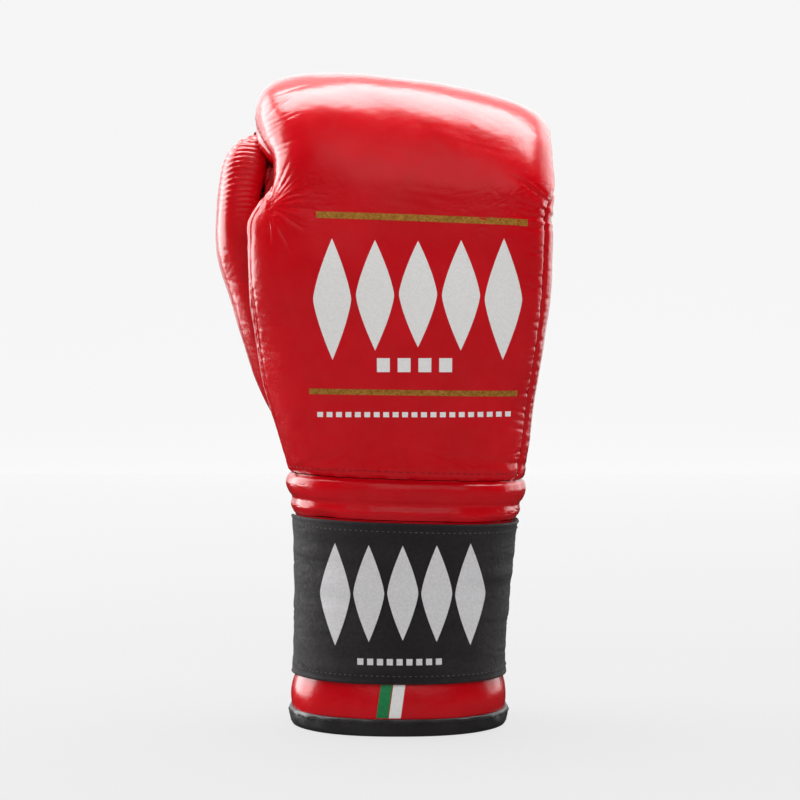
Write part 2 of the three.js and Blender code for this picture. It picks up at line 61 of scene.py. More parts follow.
HEM_MIDDLE = np.array([(hem_low[0] + hem_high[0]) / 2, (hem_low[1] + hem_high[1]) / 2, 0.0])
MM = 0.001

# ---- Driving heights and angles ----
WRIST_SEAM_Z = 122
CURL_Z = 258
CURL_Y = 6
FIST_END_Z = 205
FIST_END_ROUND = 22
LEAN = 0.03
LEAN_FULL_Z = 100
STRAP_LOW_Z = 25
STRAP_HIGH_Z = 101.5
STRAP_THICKNESS = 2.4
STRIP_MIDDLE_Z = 60
BAND_LOW_Z = 102.6
INSIDE_DEPTH = 10.5
THUMB_POWER = 2.4

# Turns round the glove, in degrees: 0 is the little-finger side and 90 is the back of the hand.
LITTLE_SEAM = 22
THUMB_SEAM = 165
PALM_THUMB_SEAM = 222
PALM_LITTLE_SEAM = 318
ROUND_THE_MITT = (PALM_LITTLE_SEAM - 360, PALM_LITTLE_SEAM)
ROUND_THE_CUFF = (-90, 270)
ROUND_THE_THUMB = (-112, 248)
THUMB_FRONT_SEAM = 47
SLIT = (264, 276)
ALL_BUT_THE_SLIT = (SLIT[1], SLIT[0] + 360)
STRAP_SEWN_END = 170
STRAP_SPLIT = -10
STRAP_FOLD = -36
STRAP_FREE_END = -145

# Places along the mitt: 0 to 1 from the wrist seam to the curl, 1 to 2 round the curl, 2 to 3 down
# the fingers, and 3 to 4 over the fingertips. A piece stops just short of 4, where its rows would meet.
CURL_SEAM = 1.006
FINGER_END = 3
MITT_END = 3.995
THUMB_END = 1.995

# ---- Cross-sections, as in the glove's solids, with the slit beside the thumb opened a little ----
# Cuff rows: z, left x, right x, half depth, power.
CUFF_ROWS = [
    [0, -51.5, 51.5, 39.5, 2.3],
    [18, -52, 52, 39.5, 2.3],
    [28, -50, 50.2, 38.5, 2.3],
    [45, -49.3, 50.3, 38.5, 2.3],
    [80, -48.9, 53.5, 39.5, 2.3],
    [99, -50, 56, 40.5, 2.4],
    [109, -53, 59.8, 41.5, 2.5],
    [122, -53.7, 61.6, 42, 2.5],
]
# Mitt rows: place, left x, right x, palm side, back side, power, slope across the top.
SKIN_ROWS = [
    [0, -53.7, 61.6, -36, 48, 2.5, 0],
    [0.12, -58.7, 63.6, -35, 50, 2.6, 0],
    [0.27, -64.3, 66, -32, 53, 2.7, 0],
    [0.48, -68.7, 69.9, -19, 58, 2.9, 0],
    [0.63, -71, 72, -6, 61, 3, 0],
    [0.8, -71.6, 72.6, 3, 62, 3.2, 0],
    [0.88, -71, 73, 4.5, 62, 3.2, 0],
    [0.94, -66, 73.3, 5.5, 62, 3.2, 0],
    [1, -59.5, 73.4, 6, 62, 3.2, 0],
    [1.06, -58, 73.2, 6, 61.3, 3.1, -0.02],
    [1.125, -59, 72.8, 6, 60.5, 3, -0.04],
    [1.2, -63.5, 73, 6, 60, 3, -0.06],
    [1.27, -66.8, 73.2, 6, 59.4, 2.95, -0.07],
    [1.5, -69, 74.4, 6, 57, 2.95, -0.1],
    [1.75, -66, 74, 6.5, 57.4, 2.95, -0.08],
    [2, -62, 73, 8, 57, 3, -0.03],
    [3, -58, 70, 10, 56, 2.8, 0],
]
CAVITY_ROWS = [
    [0, -42, 50, -27, 33, 2.3, 0],
    [0.27, -44, 52, -24, 32, 2.4, 0],
    [0.48, -45, 54, -12, 33, 2.5, 0],
    [0.63, -45, 57, 0.5, 34, 2.5, 0],
    [0.8, -45, 59, 9, 35, 2.5, 0],
    [1, -45, 60, 12, 35, 2.5, 0],
    [1.34, -48, 60, 12.5, 35, 2.5, 0],
    [1.67, -48, 60, 12.5, 35, 2.5, 0],
    [2, -46, 58, 14, 35, 2.5, 0],
    [3, -44, 56, 16, 36, 2.5, 0],
]
CAVITY_END_Z = 228
CAVITY_END_ROUND = 9
# Thumb rows: z, left x, right x, middle y, half depth.
THUMB_ROWS = [
    [127, -50, -22, 15, 24],
    [145, -60, -28, 14, 25],
    [165, -70, -33, 13, 25],
    [185, -77.5, -40, 12, 25],
    [205, -84, -48, 11, 25],
    [222, -88.3, -54, 10, 25],
    [245, -89.6, -62, 9, 24.5],
    [256, -89.2, -62.5, 8, 23.5],
    [266, -88, -59.5, 7, 22],
]
THUMB_TIP = (286.5, -70.5)
THUMB_CAVITY_ROWS = [
    [131, -42, -22, 13, 12],
    [165, -58, -40, 13, 12],
    [185, -67, -49, 14, 12],
    [205, -76.3, -58, 13.5, 12],
    [245, -79.5, -62.6, 13, 12],
    [256, -79, -63.2, 12, 11.5],
]
THUMB_CAVITY_TIP = (266, -71)


# ---- Surfaces ----
def smooth_rows(rows, keys):
    """The rows of a table at any keys, on a smooth curve through them."""
    table = np.array(rows, float)
    at, values = table[:, 0], table[:, 1:]
    tangents = np.gradient(values, at, axis=0)
    keys = np.clip(np.asarray(keys, float), at[0], at[-1])
    low = np.clip(np.searchsorted(at, keys, side="right") - 1, 0, len(at) - 2)
    span = at[low + 1] - at[low]
    t = ((keys - at[low]) / span)[..., None]
    rise = span[..., None]
    start = (2 * t**3 - 3 * t**2 + 1) * values[low] + (t**3 - 2 * t**2 + t) * rise * tangents[low]
    end = (3 * t**2 - 2 * t**3) * values[low + 1] + (t**3 - t**2) * rise * tangents[low + 1]
    return np.moveaxis(start + end, -1, 0)


def rounded(value, power):
    """A sine or cosine bent so that the section is a rounded box: the higher the power, the squarer."""
    return np.sign(value) * np.abs(value) ** (2 / power)


def leaned(x, y, z):
    """The glove's drop towards +X, which grows from the hem upwards."""
    return np.stack([x, y, z - LEAN * x * np.clip(z / LEAN_FULL_Z, 0, 1)], axis=-1)


def cuff_surface(turn, z, depth=0.0):
    """The cuff's outside at a height, or a surface that lies a depth inside it."""
    left, right, half, power = smooth_rows(CUFF_ROWS, z)
    angle = np.radians(turn)
    x = (left + right) / 2 + ((right - left) / 2 - depth) * rounded(np.cos(angle), power)
    return leaned(x, -(half - depth) * rounded(np.sin(angle), power), z)


def ease(value):
    """A smooth step from 0 to 1."""
    value = np.clip(value, 0, 1)
    return value * value * (3 - 2 * value)


def tent(value, start, peak, end):
    """1 at the peak, falling evenly to 0 at both ends."""
    return np.clip(np.minimum((value - start) / (peak - start), (end - value) / (end - peak)), 0, 1)


# How far the side seams move round the mitt, in degrees, below and above the curl.
LITTLE_SHIFT = 2.5
LITTLE_SHIFT_CHANGE = 22.5
THUMB_SHIFT_CHANGE = 16
SHIFT_FADED = (95, 110)  # the middle of the hand's back, where nothing moves


def seams_round_the_roll(turn, place):
    """The turns shifted so that the side seams slip out of sight above the hand's back."""
    above = ease((place - 0.93) / 0.12)
    little = tent(turn, ROUND_THE_MITT[0], LITTLE_SEAM, SHIFT_FADED[0])
    thumb = tent(turn, SHIFT_FADED[1], THUMB_SEAM, PALM_THUMB_SEAM)
    return turn + (LITTLE_SHIFT - LITTLE_SHIFT_CHANGE * above) * little + THUMB_SHIFT_CHANGE * above * thumb


def panel_surface(turn, place):
    return mitt_surface(seams_round_the_roll(turn, place), place)


def mitt_surface(turn, place, rows=SKIN_ROWS, end_z=FIST_END_Z, end_round=FIST_END_ROUND):
    """The mitt's skin, or its inside: up the hand, round the curl, and down to the rounded fingertips."""
    left, right, palm, back, power, slope = smooth_rows(rows, place)
    ending = np.clip(place - 3, 0, 1) * math.pi / 2
    inset = end_round * (1 - np.cos(ending))
    angle = np.radians(turn)
    backward = rounded(np.sin(angle), power)
    across = ((right - left) / 2 - inset) * rounded(np.cos(angle), power)
    distance = (palm + back) / 2 + ((back - palm) / 2 - inset) * backward
    distance = distance + slope * across * (1 + backward) / 2
    bend = np.clip(place - 1, 0, 1) * math.pi
    climb = WRIST_SEAM_Z + (CURL_Z - WRIST_SEAM_Z) * np.minimum(place, 1)
    drop = (CURL_Z - end_z - end_round) * np.clip(place - 2, 0, 1) + end_round * np.sin(ending)
    z = climb + distance * np.sin(bend) - drop
    return leaned((left + right) / 2 + across, CURL_Y - distance * np.cos(bend), z)


def cavity_surface(turn, place):
    return mitt_surface(turn, place, CAVITY_ROWS, CAVITY_END_Z, CAVITY_END_ROUND)


def thumb_surface(turn, place, rows=THUMB_ROWS, tip=THUMB_TIP):
    """The thumb's skin, or its inside: place 0 to 1 up its length, and 1 to 2 over its tip."""
    low, high = rows[0][0], rows[-1][0]
    z = low + (high - low) * np.minimum(place, 1)
    left, right, middle, half = smooth_rows(rows, z)
    ending = np.clip(place - 1, 0, 1) * math.pi / 2
    centre = (left + right) / 2 * (1 - np.sin(ending)) + tip[1] * np.sin(ending)
    angle = np.radians(turn)
    x = centre + (right - left) / 2 * np.cos(ending) * rounded(np.cos(angle), THUMB_POWER)
    y = middle - half * np.cos(ending) * rounded(np.sin(angle), THUMB_POWER)
    return leaned(x, y, z + (tip[0] - high) * np.sin(ending))


# ---- Grids of points on a surface ----
def even(surface, axis, limits, at, count):
    """Stations from one limit to the other, spaced evenly by length along the surface."""
    fine = np.linspace(*limits, 2001)
    other = np.full_like(fine, at)
    points = surface(fine, other) if axis == 0 else surface(other, fine)
    length = np.concatenate([[0], np.cumsum(np.linalg.norm(np.diff(points, axis=0), axis=1))])
    return np.interp(np.linspace(0, length[-1], count), length, fine)


class Grid:
    """Points of a surface over a range of turns (columns) and places (rows), with their normals."""

    def __init__(self, surface, turns, places, spacing, middle=None):
        mid_turn = (turns[0] + turns[1]) / 2
        mid_place = (places[0] + places[1]) / 2 if middle is None else middle
        counts = []
        for axis, limits, at in ((0, turns, mid_place), (1, places, mid_turn)):
            line = np.linspace(*limits, 400)
            points = surface(line, np.full(400, at)) if axis == 0 else surface(np.full(400, at), line)
            size = np.linalg.norm(np.diff(points, axis=0), axis=1).sum()
            counts.append(max(3, int(size / spacing[axis]) + 1))
        self.turns = even(surface, 0, turns, mid_place, counts[0])
        self.places = even(surface, 1, places, mid_turn, counts[1])
        self.turn, self.place = np.meshgrid(self.turns, self.places)
        self.points = surface(self.turn, self.place)
        self.measure()

    def measure(self):
        along = np.gradient(self.points, axis=1)
        up = np.gradient(self.points, axis=0)
        normals = np.cross(along, up)
        self.normals = normals / np.maximum(np.linalg.norm(normals, axis=-1, keepdims=True), 1e-9)
        outward = self.normals[len(self.places) // 2, len(self.turns) // 2]
        middle = self.points[len(self.places) // 2, len(self.turns) // 2]
        if np.dot(outward, middle - self.core(middle)) < 0:
            self.normals = -self.normals
        side = np.linalg.norm(np.diff(self.points, axis=1), axis=-1)
        rise = np.linalg.norm(np.diff(self.points, axis=0), axis=-1)
        zero_column = np.zeros((side.shape[0], 1))
        zero_row = np.zeros((1, rise.shape[1]))
        self.across = np.hstack([zero_column, np.cumsum(side, axis=1)])
        self.upward = np.vstack([zero_row, np.cumsum(rise, axis=0)])

    @staticmethod
    def core(point):
        """A point well inside the glove, near the given one."""
        return np.array([0.0, CURL_Y, min(point[2], CURL_Z)])

    def edge_distance(self, edges):
        """The least distance to any of the named edges: first, last (turn), bottom, top."""
        distances = {
            "first": self.across,
            "last": self.across[:, -1:] - self.across,
            "bottom": self.upward,
            "top": self.upward[-1:, :] - self.upward,
        }
        return np.min([distances[edge] for edge in edges], axis=0)

    def lift(self, height):
        self.points = self.points + self.normals * height[..., None]


# ---- Soft variation, the same every run ----
def waves(points, size, seed, count=14):
    """Smooth noise of about unit height, with bumps of about the given size (one size or one per axis)."""
    chance = np.random.default_rng(seed)
    directions = chance.normal(size=(count, 3))
    directions /= np.linalg.norm(directions, axis=1, keepdims=True)
    scaled = points / np.asarray(size, float)
    total = np.zeros(points.shape[:-1])
    for direction in directions:
        along = scaled @ (direction * chance.uniform(0.6, 1.3))
        total += np.sin(2 * math.pi * along + chance.uniform(0, 7))
    return total / math.sqrt(count / 2)


def creases(points, size, seed, sharp=5):
    """A net of thin creases: 1 in a crease, and near 0 between creases."""
    bent = points + 0.12 * np.asarray(size).max() * np.stack(
        [waves(points, np.asarray(size) * 1.7, seed + k) for k in (1, 2, 3)], axis=-1
    )
    return np.clip(1 - np.abs(waves(bent, size, seed)), 0, 1) ** sharp


def near(value, middle, reach):
    """1 at the middle, falling to 0 a few reaches away."""
    return np.exp(-(((value - middle) / reach) ** 2))


def stroke(points, start, end, width):
    """1 on a line from start to end, as seen from the front in (x, z), fading at its ends and sides."""
    start, end = np.array(start, float), np.array(end, float)
    seen = points[..., [0, 2]] - start
    line = end - start
    t = np.clip((seen @ line) / (line @ line), 0, 1)
    offset = seen - t[..., None] * line
    side = np.hypot(offset[..., 0], offset[..., 1])
    return np.exp(-((side / width) ** 2)) * np.sin(math.pi * np.clip(t, 0.04, 0.96)) ** 0.7


def seam(distance, depth=1.5, width=1.7, puff=0.5, puff_at=6.0):
    """The dip into a seam, with the padding swelling beside it."""
    return -depth * np.exp(-((distance / width) ** 2)) + puff * np.exp(-(((distance - puff_at) / 4) ** 2))


def puckers(points, distance, size, seed, height=0.3, reach=5.0):
    """Small gathers across a seam, which die out away from it."""
    return height * waves(points, size, seed) * np.exp(-distance / reach)


def soft_leather(points, seed):
    """Lumps of the padding, and the faint slackness of the leather over it."""
    lumps = 0.35 * waves(points, 50, seed) + 0.06 * waves(points, 19, seed + 5)
    return lumps + 0.012 * waves(points, 5.5, seed + 9)


# ---- Meshes ----
def add_object(name, data):
    made = bpy.data.objects.new(name, data)
    bpy.context.collection.objects.link(made)
    return made


def new_object(name, vertices, faces):
    mesh = bpy.data.meshes.new(name)
    metres = np.asarray(vertices, float).reshape(-1, 3) * MM + HEM_MIDDLE
    mesh.from_pydata(metres.tolist(), [], faces)
    mesh.update()
    mesh.polygons.foreach_set("use_smooth", [True] * len(mesh.polygons))
    return add_object(name, mesh)


def grid_faces(rows, columns, closed=False):
    faces = []
    last = columns if closed else columns - 1
    for row in range(rows - 1):
        for column in range(last):
            beside = (column + 1) % columns
            low, high = row * columns, (row + 1) * columns
            faces.append((low + column, low + beside, high + beside, high + column))
    return faces


def finish_piece(made, material, body, nodes=()):
    """Give a piece its material, and attach it to the body when body is a body's name; a (body, body, start,
    end) blend is not used, and the piece only has its transform baked.
    """
    made.data.materials.append(material)
    if isinstance(body, str):
        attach(made, body)
    else:
        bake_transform(made)
    if nodes:
        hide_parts(*nodes)
    return made


def outward_faces(made):
    mesh = bmesh.new()
    mesh.from_mesh(made.data)
    bmesh.ops.recalc_face_normals(mesh, faces=mesh.faces)
    mesh.to_mesh(made.data)
    mesh.free()


def sheet(name, grid):
    """A sheet through a grid's points, facing along its normals."""
    rows, columns = grid.points.shape[:2]
    faces = grid_faces(rows, columns)
    a, b, c = (grid.points.reshape(-1, 3)[faces[len(faces) // 2][i]] for i in (0, 1, 2))
    normal = grid.normals.reshape(-1, 3)[faces[len(faces) // 2][0]]
    if np.dot(np.cross(b - a, c - b), normal) < 0:
        faces = [face[::-1] for face in faces]
    return new_object(name, grid.points, faces)


def swept(name, section, turns, shape=None):
    """A closed strip round the cuff: a loop of (height, lift) points carried through a list of turns."""
    section = np.asarray(section, float)
    turn, z = np.meshgrid(turns, section[:, 0], indexing="ij")
    lift = np.broadcast_to(section[:, 1], z.shape).copy()
    if shape is not None:
        lift = lift + shape(turn, z)
    points = cuff_surface(turn, z, -lift)
    rows, columns = points.shape[:2]
    faces = grid_faces(rows, columns, closed=True)
    faces += [tuple(range(columns)), tuple(range((rows - 1) * columns, rows * columns))]
    made = new_object(name, points, faces)
    outward_faces(made)
    return made


def strip(name, section, turns, count, shape=None):
    """A strip swept between two turns, in evenly spaced steps."""
    return swept(name, section, even(cuff_surface, 0, turns, STRIP_MIDDLE_Z, count), shape)


def ripples(height, size, seed):
    """A strip's shape: small waves of the given height and size."""
    return lambda turn, z: height * waves(cuff_surface(turn, z), size, seed)


def strip_section(low, high, lift, thickness, spacing=0.9, corner=0.8):
    """A flat strip's outline, with rounded edges: (height, lift) points in a loop."""
    inner = np.arange(low + corner, high - corner, spacing)
    corner_lift = thickness * 0.22
    top = [(z, lift + thickness) for z in inner]
    side = [(high - 0.25, lift + thickness - corner_lift), (high, lift + thickness / 2)]
    side += [(high - 0.25, lift + corner_lift)]
    bottom = [(z, lift) for z in inner[::-1]]
    other = [(low + 0.25, lift + corner_lift), (low, lift + thickness / 2)]
    other += [(low + 0.25, lift + thickness - corner_lift)]
    return top + side + bottom + other


# ---- Materials ----
class Shader:
    """A material's node tree, with short calls for the nodes that these materials use."""

    def __init__(self, name, **constants):
        self.material = bpy.data.materials.new(name)
        self.material.use_nodes = True
        self.nodes = self.material.node_tree.nodes
        self.links = self.material.node_tree.links
        self.principled = self.nodes["Principled BSDF"]
        for socket, value in constants.items():
            self.principled.inputs[socket.replace("_", " ")].default_value = value
        self.place = self.nodes.new("ShaderNodeTexCoord").outputs["Object"]

    def pattern(self, kind, place=None, **values):
        """A node laid out by the object's own coordinates, or by another place."""
        pattern = self.nodes.new("ShaderNode" + kind)
        for socket, value in values.items():
            pattern.inputs[socket].default_value = value
        self.links.new(place or self.place, pattern.inputs["Vector"])
        return pattern

    def noise(self, scale, detail=3, rough=0.55, stretch=(1, 1, 1)):
        place = self.pattern("Mapping", Scale=stretch).outputs[0]
        return self.pattern("TexNoise", place, Scale=scale, Detail=detail, Roughness=rough).outputs["Fac"]

    def cells(self, scale):
        """The distance to the nearest edge in a net of cells."""
        cells = self.pattern("TexVoronoi", Scale=scale)
        cells.feature = "DISTANCE_TO_EDGE"
        return cells.outputs["Distance"]

    def threads(self, scale, direction):
        threads = self.pattern("TexWave", Scale=scale, Distortion=0.0)
        threads.bands_direction = direction
        return threads.outputs["Fac"]

    def spread(self, value, low, high, out_low, out_high):
        """A value's range from low to high, spread from out_low to out_high."""
        spread = self.nodes.new("ShaderNodeMapRange")
        for socket, number in zip(spread.inputs[1:5], (low, high, out_low, out_high)):
            socket.default_value = number
        self.links.new(value, spread.inputs[0])
        return spread.outputs[0]

    def colours(self, value, first, second):
        mix = self.nodes.new("ShaderNodeMix")
        mix.data_type = "RGBA"
        mix.inputs["A"].default_value = (*first, 1)
        mix.inputs["B"].default_value = (*second, 1)
        self.links.new(value, mix.inputs["Factor"])
        self.links.new(mix.outputs["Result"], self.principled.inputs["Base Color"])

    def roughness(self, value):
        self.links.new(value, self.principled.inputs["Roughness"])

    def bumps(self, *layers):
        """Bump layers, each a height output with its depth in metres."""
        previous = None
        for height, depth in layers:
            bump = self.nodes.new("ShaderNodeBump")
            bump.inputs["Strength"].default_value = 1
            bump.inputs["Distance"].default_value = depth
            self.links.new(height, bump.inputs["Height"])
            if previous is not None:
                self.links.new(previous, bump.inputs["Normal"])
            previous = bump.outputs[0]
        self.links.new(previous, self.principled.inputs["Normal"])
        return self.material


def leather_material(name, light, dark, gloss=(0.2, 0.27), grain=0.000018):
    shader = Shader(name, Coat_Weight=0.3, Coat_Roughness=0.13, IOR=1.5)
    shader.colours(shader.spread(shader.noise(28, 5), 0.35, 0.65, 0, 1), light, dark)
    shader.roughness(shader.spread(shader.noise(160, 4), 0.3, 0.7, *gloss))
    pebbles = shader.spread(shader.cells(950), 0, 0.35, 0, 1)
    return shader.bumps(
        (shader.noise(90, 6, 0.6), 0.00022),
        (shader.noise(420, 4, 0.6, (1, 1, 2.2)), 0.00006),
        (pebbles, grain),
        (shader.noise(2600, 2), 0.000012),
    )


def cloth_material(name, light, dark, thread=1500, depth=0.00004, sheen=0.035):
    shader = Shader(name, Sheen_Weight=sheen, Sheen_Roughness=0.5, IOR=1.45)
    shader.colours(shader.spread(shader.noise(60, 5), 0.3, 0.7, 0, 1), light, dark)
    shader.roughness(shader.spread(shader.noise(500, 3), 0.3, 0.7, 0.62, 0.85))
    return shader.bumps(
        (shader.threads(thread, "Z"), depth),
        (shader.threads(thread * 0.8, "X"), depth),
        (shader.threads(thread * 0.8, "Y"), depth),
        (shader.noise(140, 4), 0.0004),
    )


def ink_material(name, light, dark, metal=0.0, gloss=(0.35, 0.5)):
    shader = Shader(name, Metallic=metal, IOR=1.5)
    shader.colours(shader.spread(shader.noise(900, 4), 0.35, 0.65, 0, 1), light, dark)
    shader.roughness(shader.spread(shader.noise(300, 4), 0.3, 0.7, *gloss))
    return shader.bumps((shader.noise(420, 4, 0.6, (1, 1, 2.2)), 0.00016), (shader.cells(950), 0.00003))


RED = leather_material("red_leather", (0.52, 0.0, 0.005), (0.45, 0.0, 0.004))
BLACK_TRIM = leather_material("black_binding", (0.022, 0.02, 0.021), (0.014, 0.012, 0.013), (0.4, 0.55))
BLACK_WEAVE = cloth_material("black_elastic", (0.02, 0.017, 0.0185), (0.014, 0.0115, 0.013))
TAPE = cloth_material("hook_and_loop", (0.014, 0.013, 0.014), (0.008, 0.008, 0.008), 1300, 0.0004)
LINING = cloth_material("lining_cloth", (0.05, 0.05, 0.055), (0.03, 0.03, 0.034), 700)
LABEL = cloth_material("label_cloth", (0.75, 0.73, 0.7), (0.66, 0.64, 0.61), 1500, 0.00006)
RED_THREAD = cloth_material("red_thread", (0.3, 0.004, 0.01), (0.2, 0.003, 0.008), 2600, 0.00005)
BLACK_THREAD = cloth_material("black_thread", (0.02, 0.018, 0.02), (0.01, 0.009, 0.01), 2600, 0.00005)
GREY_THREAD = cloth_material("grey_thread", (0.12, 0.11, 0.115), (0.07, 0.065, 0.07), 2600, 0.00005)
WHITE_INK = ink_material("white_print", (0.7, 0.69, 0.68), (0.64, 0.63, 0.62))
GREY_INK = ink_material("light_print", (0.58, 0.57, 0.58), (0.5, 0.49, 0.5), gloss=(0.5, 0.7))
GOLD_INK = ink_material("gold_print", (0.6, 0.29, 0.05), (0.3, 0.12, 0.014), metal=0.45, gloss=(0.25, 0.4))
GREEN_INK = ink_material("green_print", (0.005, 0.2, 0.06), (0.004, 0.15, 0.045))


# ---- The mitt ----
SLIT_FOOT = (-61, 250)  # where the slit beside the thumb ends, as seen from the front
NOTCH = (77, 239)  # where the folds of the right edge meet
CREASE_SEED = 11
# Folds of the hand's back: the depth and width of one fold in each group.
SLIT_FOLD = (0.45, 0.75)
ROLL_FOLD = (0.2, 0.8)
NOTCH_FOLD = (0.45, 0.8)
NOTCH_DIP = (1.1, 1.3)
SIDE_FOLD = (0.22, 0.7)
LONG_FOLD = (0.07, 1.3)
WRIST_RIGHT_FOLD = (0.34, 0.9)
WRIST_LEFT_FOLD = (0.28, 0.9)


def fold(points, start, end, shape):
    depth, width = shape
    return -depth * stroke(points, start, end, width)


def front_creases(points):
    """The creases of the hand's back, as seen from the front in (x, z)."""
    chance = np.random.default_rng(CREASE_SEED)
    total = np.zeros(points.shape[:-1])
    foot_x, foot_z = SLIT_FOOT
    for degrees in np.linspace(-82, 76, 15):  # the folds that fan out of the slit's foot
        angle = math.radians(degrees + chance.uniform(-4, 4))
        length = chance.uniform(11, 24)
        start = (foot_x + 1.5 * math.cos(angle), foot_z + 1.5 * math.sin(angle))
        end = (start[0] + length * math.cos(angle), start[1] + length * math.sin(angle))
        total += fold(points, start, end, SLIT_FOLD)
    for height in np.arange(262, 304, 3.4):  # short folds at the left end of the roll
        length = chance.uniform(9, 22)
        left = -66 + 0.32 * max(height - 284, 0)
        total += fold(points, (left, height), (left + length, height + chance.uniform(4, 9)), ROLL_FOLD)
    for share in np.linspace(0, 1, 12):  # the folds that spread from the notch at the right edge
        length = chance.uniform(14, 34)
        end = (76 - length, 240 + 24 * share + chance.uniform(-2, 2))
        total += fold(points, (NOTCH[0], NOTCH[1] + 9 * share), end, NOTCH_FOLD)
    total += fold(points, (84, 243), (68, 244.5), NOTCH_DIP)
    for height in np.arange(126, 232, 3.1):  # fine folds down the right side
        length = chance.uniform(5, 17)
        edge = 63 + (height - WRIST_SEAM_Z) * 0.1
        total += fold(points, (edge, height), (edge - length, height + chance.uniform(-3, 5)), SIDE_FOLD)
    for height in np.arange(252, 290, 3.6):  # long shallow folds below the roll, falling to the right
        start = (chance.uniform(-12, 30), height)
        end = (start[0] + chance.uniform(26, 44), height - chance.uniform(3, 10))
        total += fold(points, start, end, LONG_FOLD)
    for share in np.linspace(0, 1, 7):  # slanting folds above the wrist seam, on the right
        start = (12 + 34 * share, 136 - 4 * share)
        total += fold(points, start, (start[0] + 22, start[1] - 9 + 2 * share), WRIST_RIGHT_FOLD)
    for share in np.linspace(0, 1, 5):  # and on the left
        start = (-52 + 16 * share, 125 + 3 * share)
        total += fold(points, start, (start[0] + 15, start[1] + 8), WRIST_LEFT_FOLD)
    return total * ease((9 - points[..., 1]) / 10)


WRINKLE_DEPTH = 0.32
WRINKLE_SIZE = (17, 12, 2.3)


def fine_wrinkles(points, seed):
    """The close wrinkles of the hand's back on both sides, just below the roll."""
    x, y, z = np.moveaxis(points, -1, 0)
    right = ease((x - 12) / 38) * near(z, 249, 15)
    left = ease((-x - 22) / 26) * near(z, 254, 14)
    shown = (right + left) * ease((4 - y) / 10)
    return -WRINKLE_DEPTH * shown * creases(points, WRINKLE_SIZE, seed, 4)


MITT_SEAM = (0.85, 1.2, 0.3, 5)  # depth, width, the puff beside it, and how far off the puff is
GATHER_SIZE = (5, 5, 4)
BROAD_CREASE, BROAD_CREASE_SIZE = 0.13, (26, 18, 6)
FINE_CREASE, FINE_CREASE_SIZE = 0.05, (9, 7, 3.0)


def mitt_height(grid, edges, seed):
    """How far the leather stands above its even surface: seams, gathers, padding and creases."""
    points = grid.points
    away = grid.edge_distance(edges)
    height = seam(away, *MITT_SEAM) + puckers(points, away, GATHER_SIZE, seed, 0.13, 4)
    height += soft_leather(points, seed) * np.clip(away / 6, 0, 1)
    side = np.clip((np.abs(points[..., 0] - 4) - 50) / 22, 0, 1)
    at_wrist = near(points[..., 2], WRIST_SEAM_Z + 6, 9)
    slack = 0.12 + 0.55 * at_wrist + 0.8 * side + 0.25 * ease(points[..., 1] / 30)
    height -= BROAD_CREASE * slack * creases(points, BROAD_CREASE_SIZE, seed + 20)
    height -= FINE_CREASE * slack * creases(points, FINE_CREASE_SIZE, seed + 30)
    return height


BACK_NODES = ["back_panel", "hand_back_foam", "knuckle_foam", "knuckle_crown_foam"]
BACK_NODES += ["finger_crown_foam", "finger_back_foam", "finger_end_foam"]
ALL_EDGES = ("first", "last", "bottom", "top")
# The leather inside the curl turns without a dip, because its two panels are pressed together there.
PRESSED_EDGES = {
    "mitt_palm": ("first", "last", "bottom"),
    "mitt_finger_inner": ("first", "last", "top"),
}
ON_THE_BACK = (LITTLE_SEAM, THUMB_SEAM)
LITTLE_SIDE = (ROUND_THE_MITT[0], LITTLE_SEAM)
THUMB_SIDE = (THUMB_SEAM, PALM_THUMB_SEAM)
ON_THE_PALM = (PALM_THUMB_SEAM, PALM_LITTLE_SEAM)
BELOW_CURL = (0, CURL_SEAM)
PAST_CURL = (CURL_SEAM, FINGER_END)
# Panels: name, turns, places, spacing, the CAD nodes it stands for.
MITT_PANELS = [
    ("mitt_back", ON_THE_BACK, (0, FINGER_END), 0.62, BACK_NODES),
    ("mitt_little_side", LITTLE_SIDE, BELOW_CURL, 1.0, ["little_side_panel", "little_side_foam"]),
    ("mitt_little_fist", LITTLE_SIDE, PAST_CURL, 1.1, ["little_fist_panel", "little_fist_foam"]),
    ("mitt_thumb_side", THUMB_SIDE, BELOW_CURL, 1.0, ["thumb_side_panel", "thumb_side_foam"]),
    ("mitt_thumb_fist", THUMB_SIDE, PAST_CURL, 1.1, ["thumb_fist_panel", "thumb_fist_foam"]),
    ("mitt_palm", ON_THE_PALM, BELOW_CURL, 1.0, ["palm_panel", "palm_foam"]),
    ("mitt_finger_inner", ON_THE_PALM, PAST_CURL, 1.1, ["finger_inner_panel", "finger_inner_foam"]),
]


def make_mitt():
    made = {}
    for number, (name, turns, places, spacing, nodes) in enumerate(MITT_PANELS):
        grid = Grid(panel_surface, turns, places, (spacing, spacing))
        height = mitt_height(grid, PRESSED_EDGES.get(name, ALL_EDGES), 40 + 3 * number)
        height += front_creases(grid.points)  # the same on both sides of a seam, so that no gap opens
        if name == "mitt_back":
            beside = grid.edge_distance(("last",))
            ridge = 0.55 * near(beside, 2.7, 0.9) * (grid.place < 1)  # the piping along the thumb's seam
            height += fine_wrinkles(grid.points, 60) + ridge
        grid.lift(height)
        made[name] = finish_piece(sheet(name, grid), RED, "mitt", nodes)
    grid = Grid(panel_surface, ROUND_THE_MITT, (FINGER_END, MITT_END), (1.1, 0.9), middle=3.2)
    grid.lift(mitt_height(grid, ("bottom",), 70))
    tips = sheet("mitt_fingertips", grid)
    finish_piece(tips, RED, "mitt", ["fingertip_panel", "fingertip_foam"])
    return made


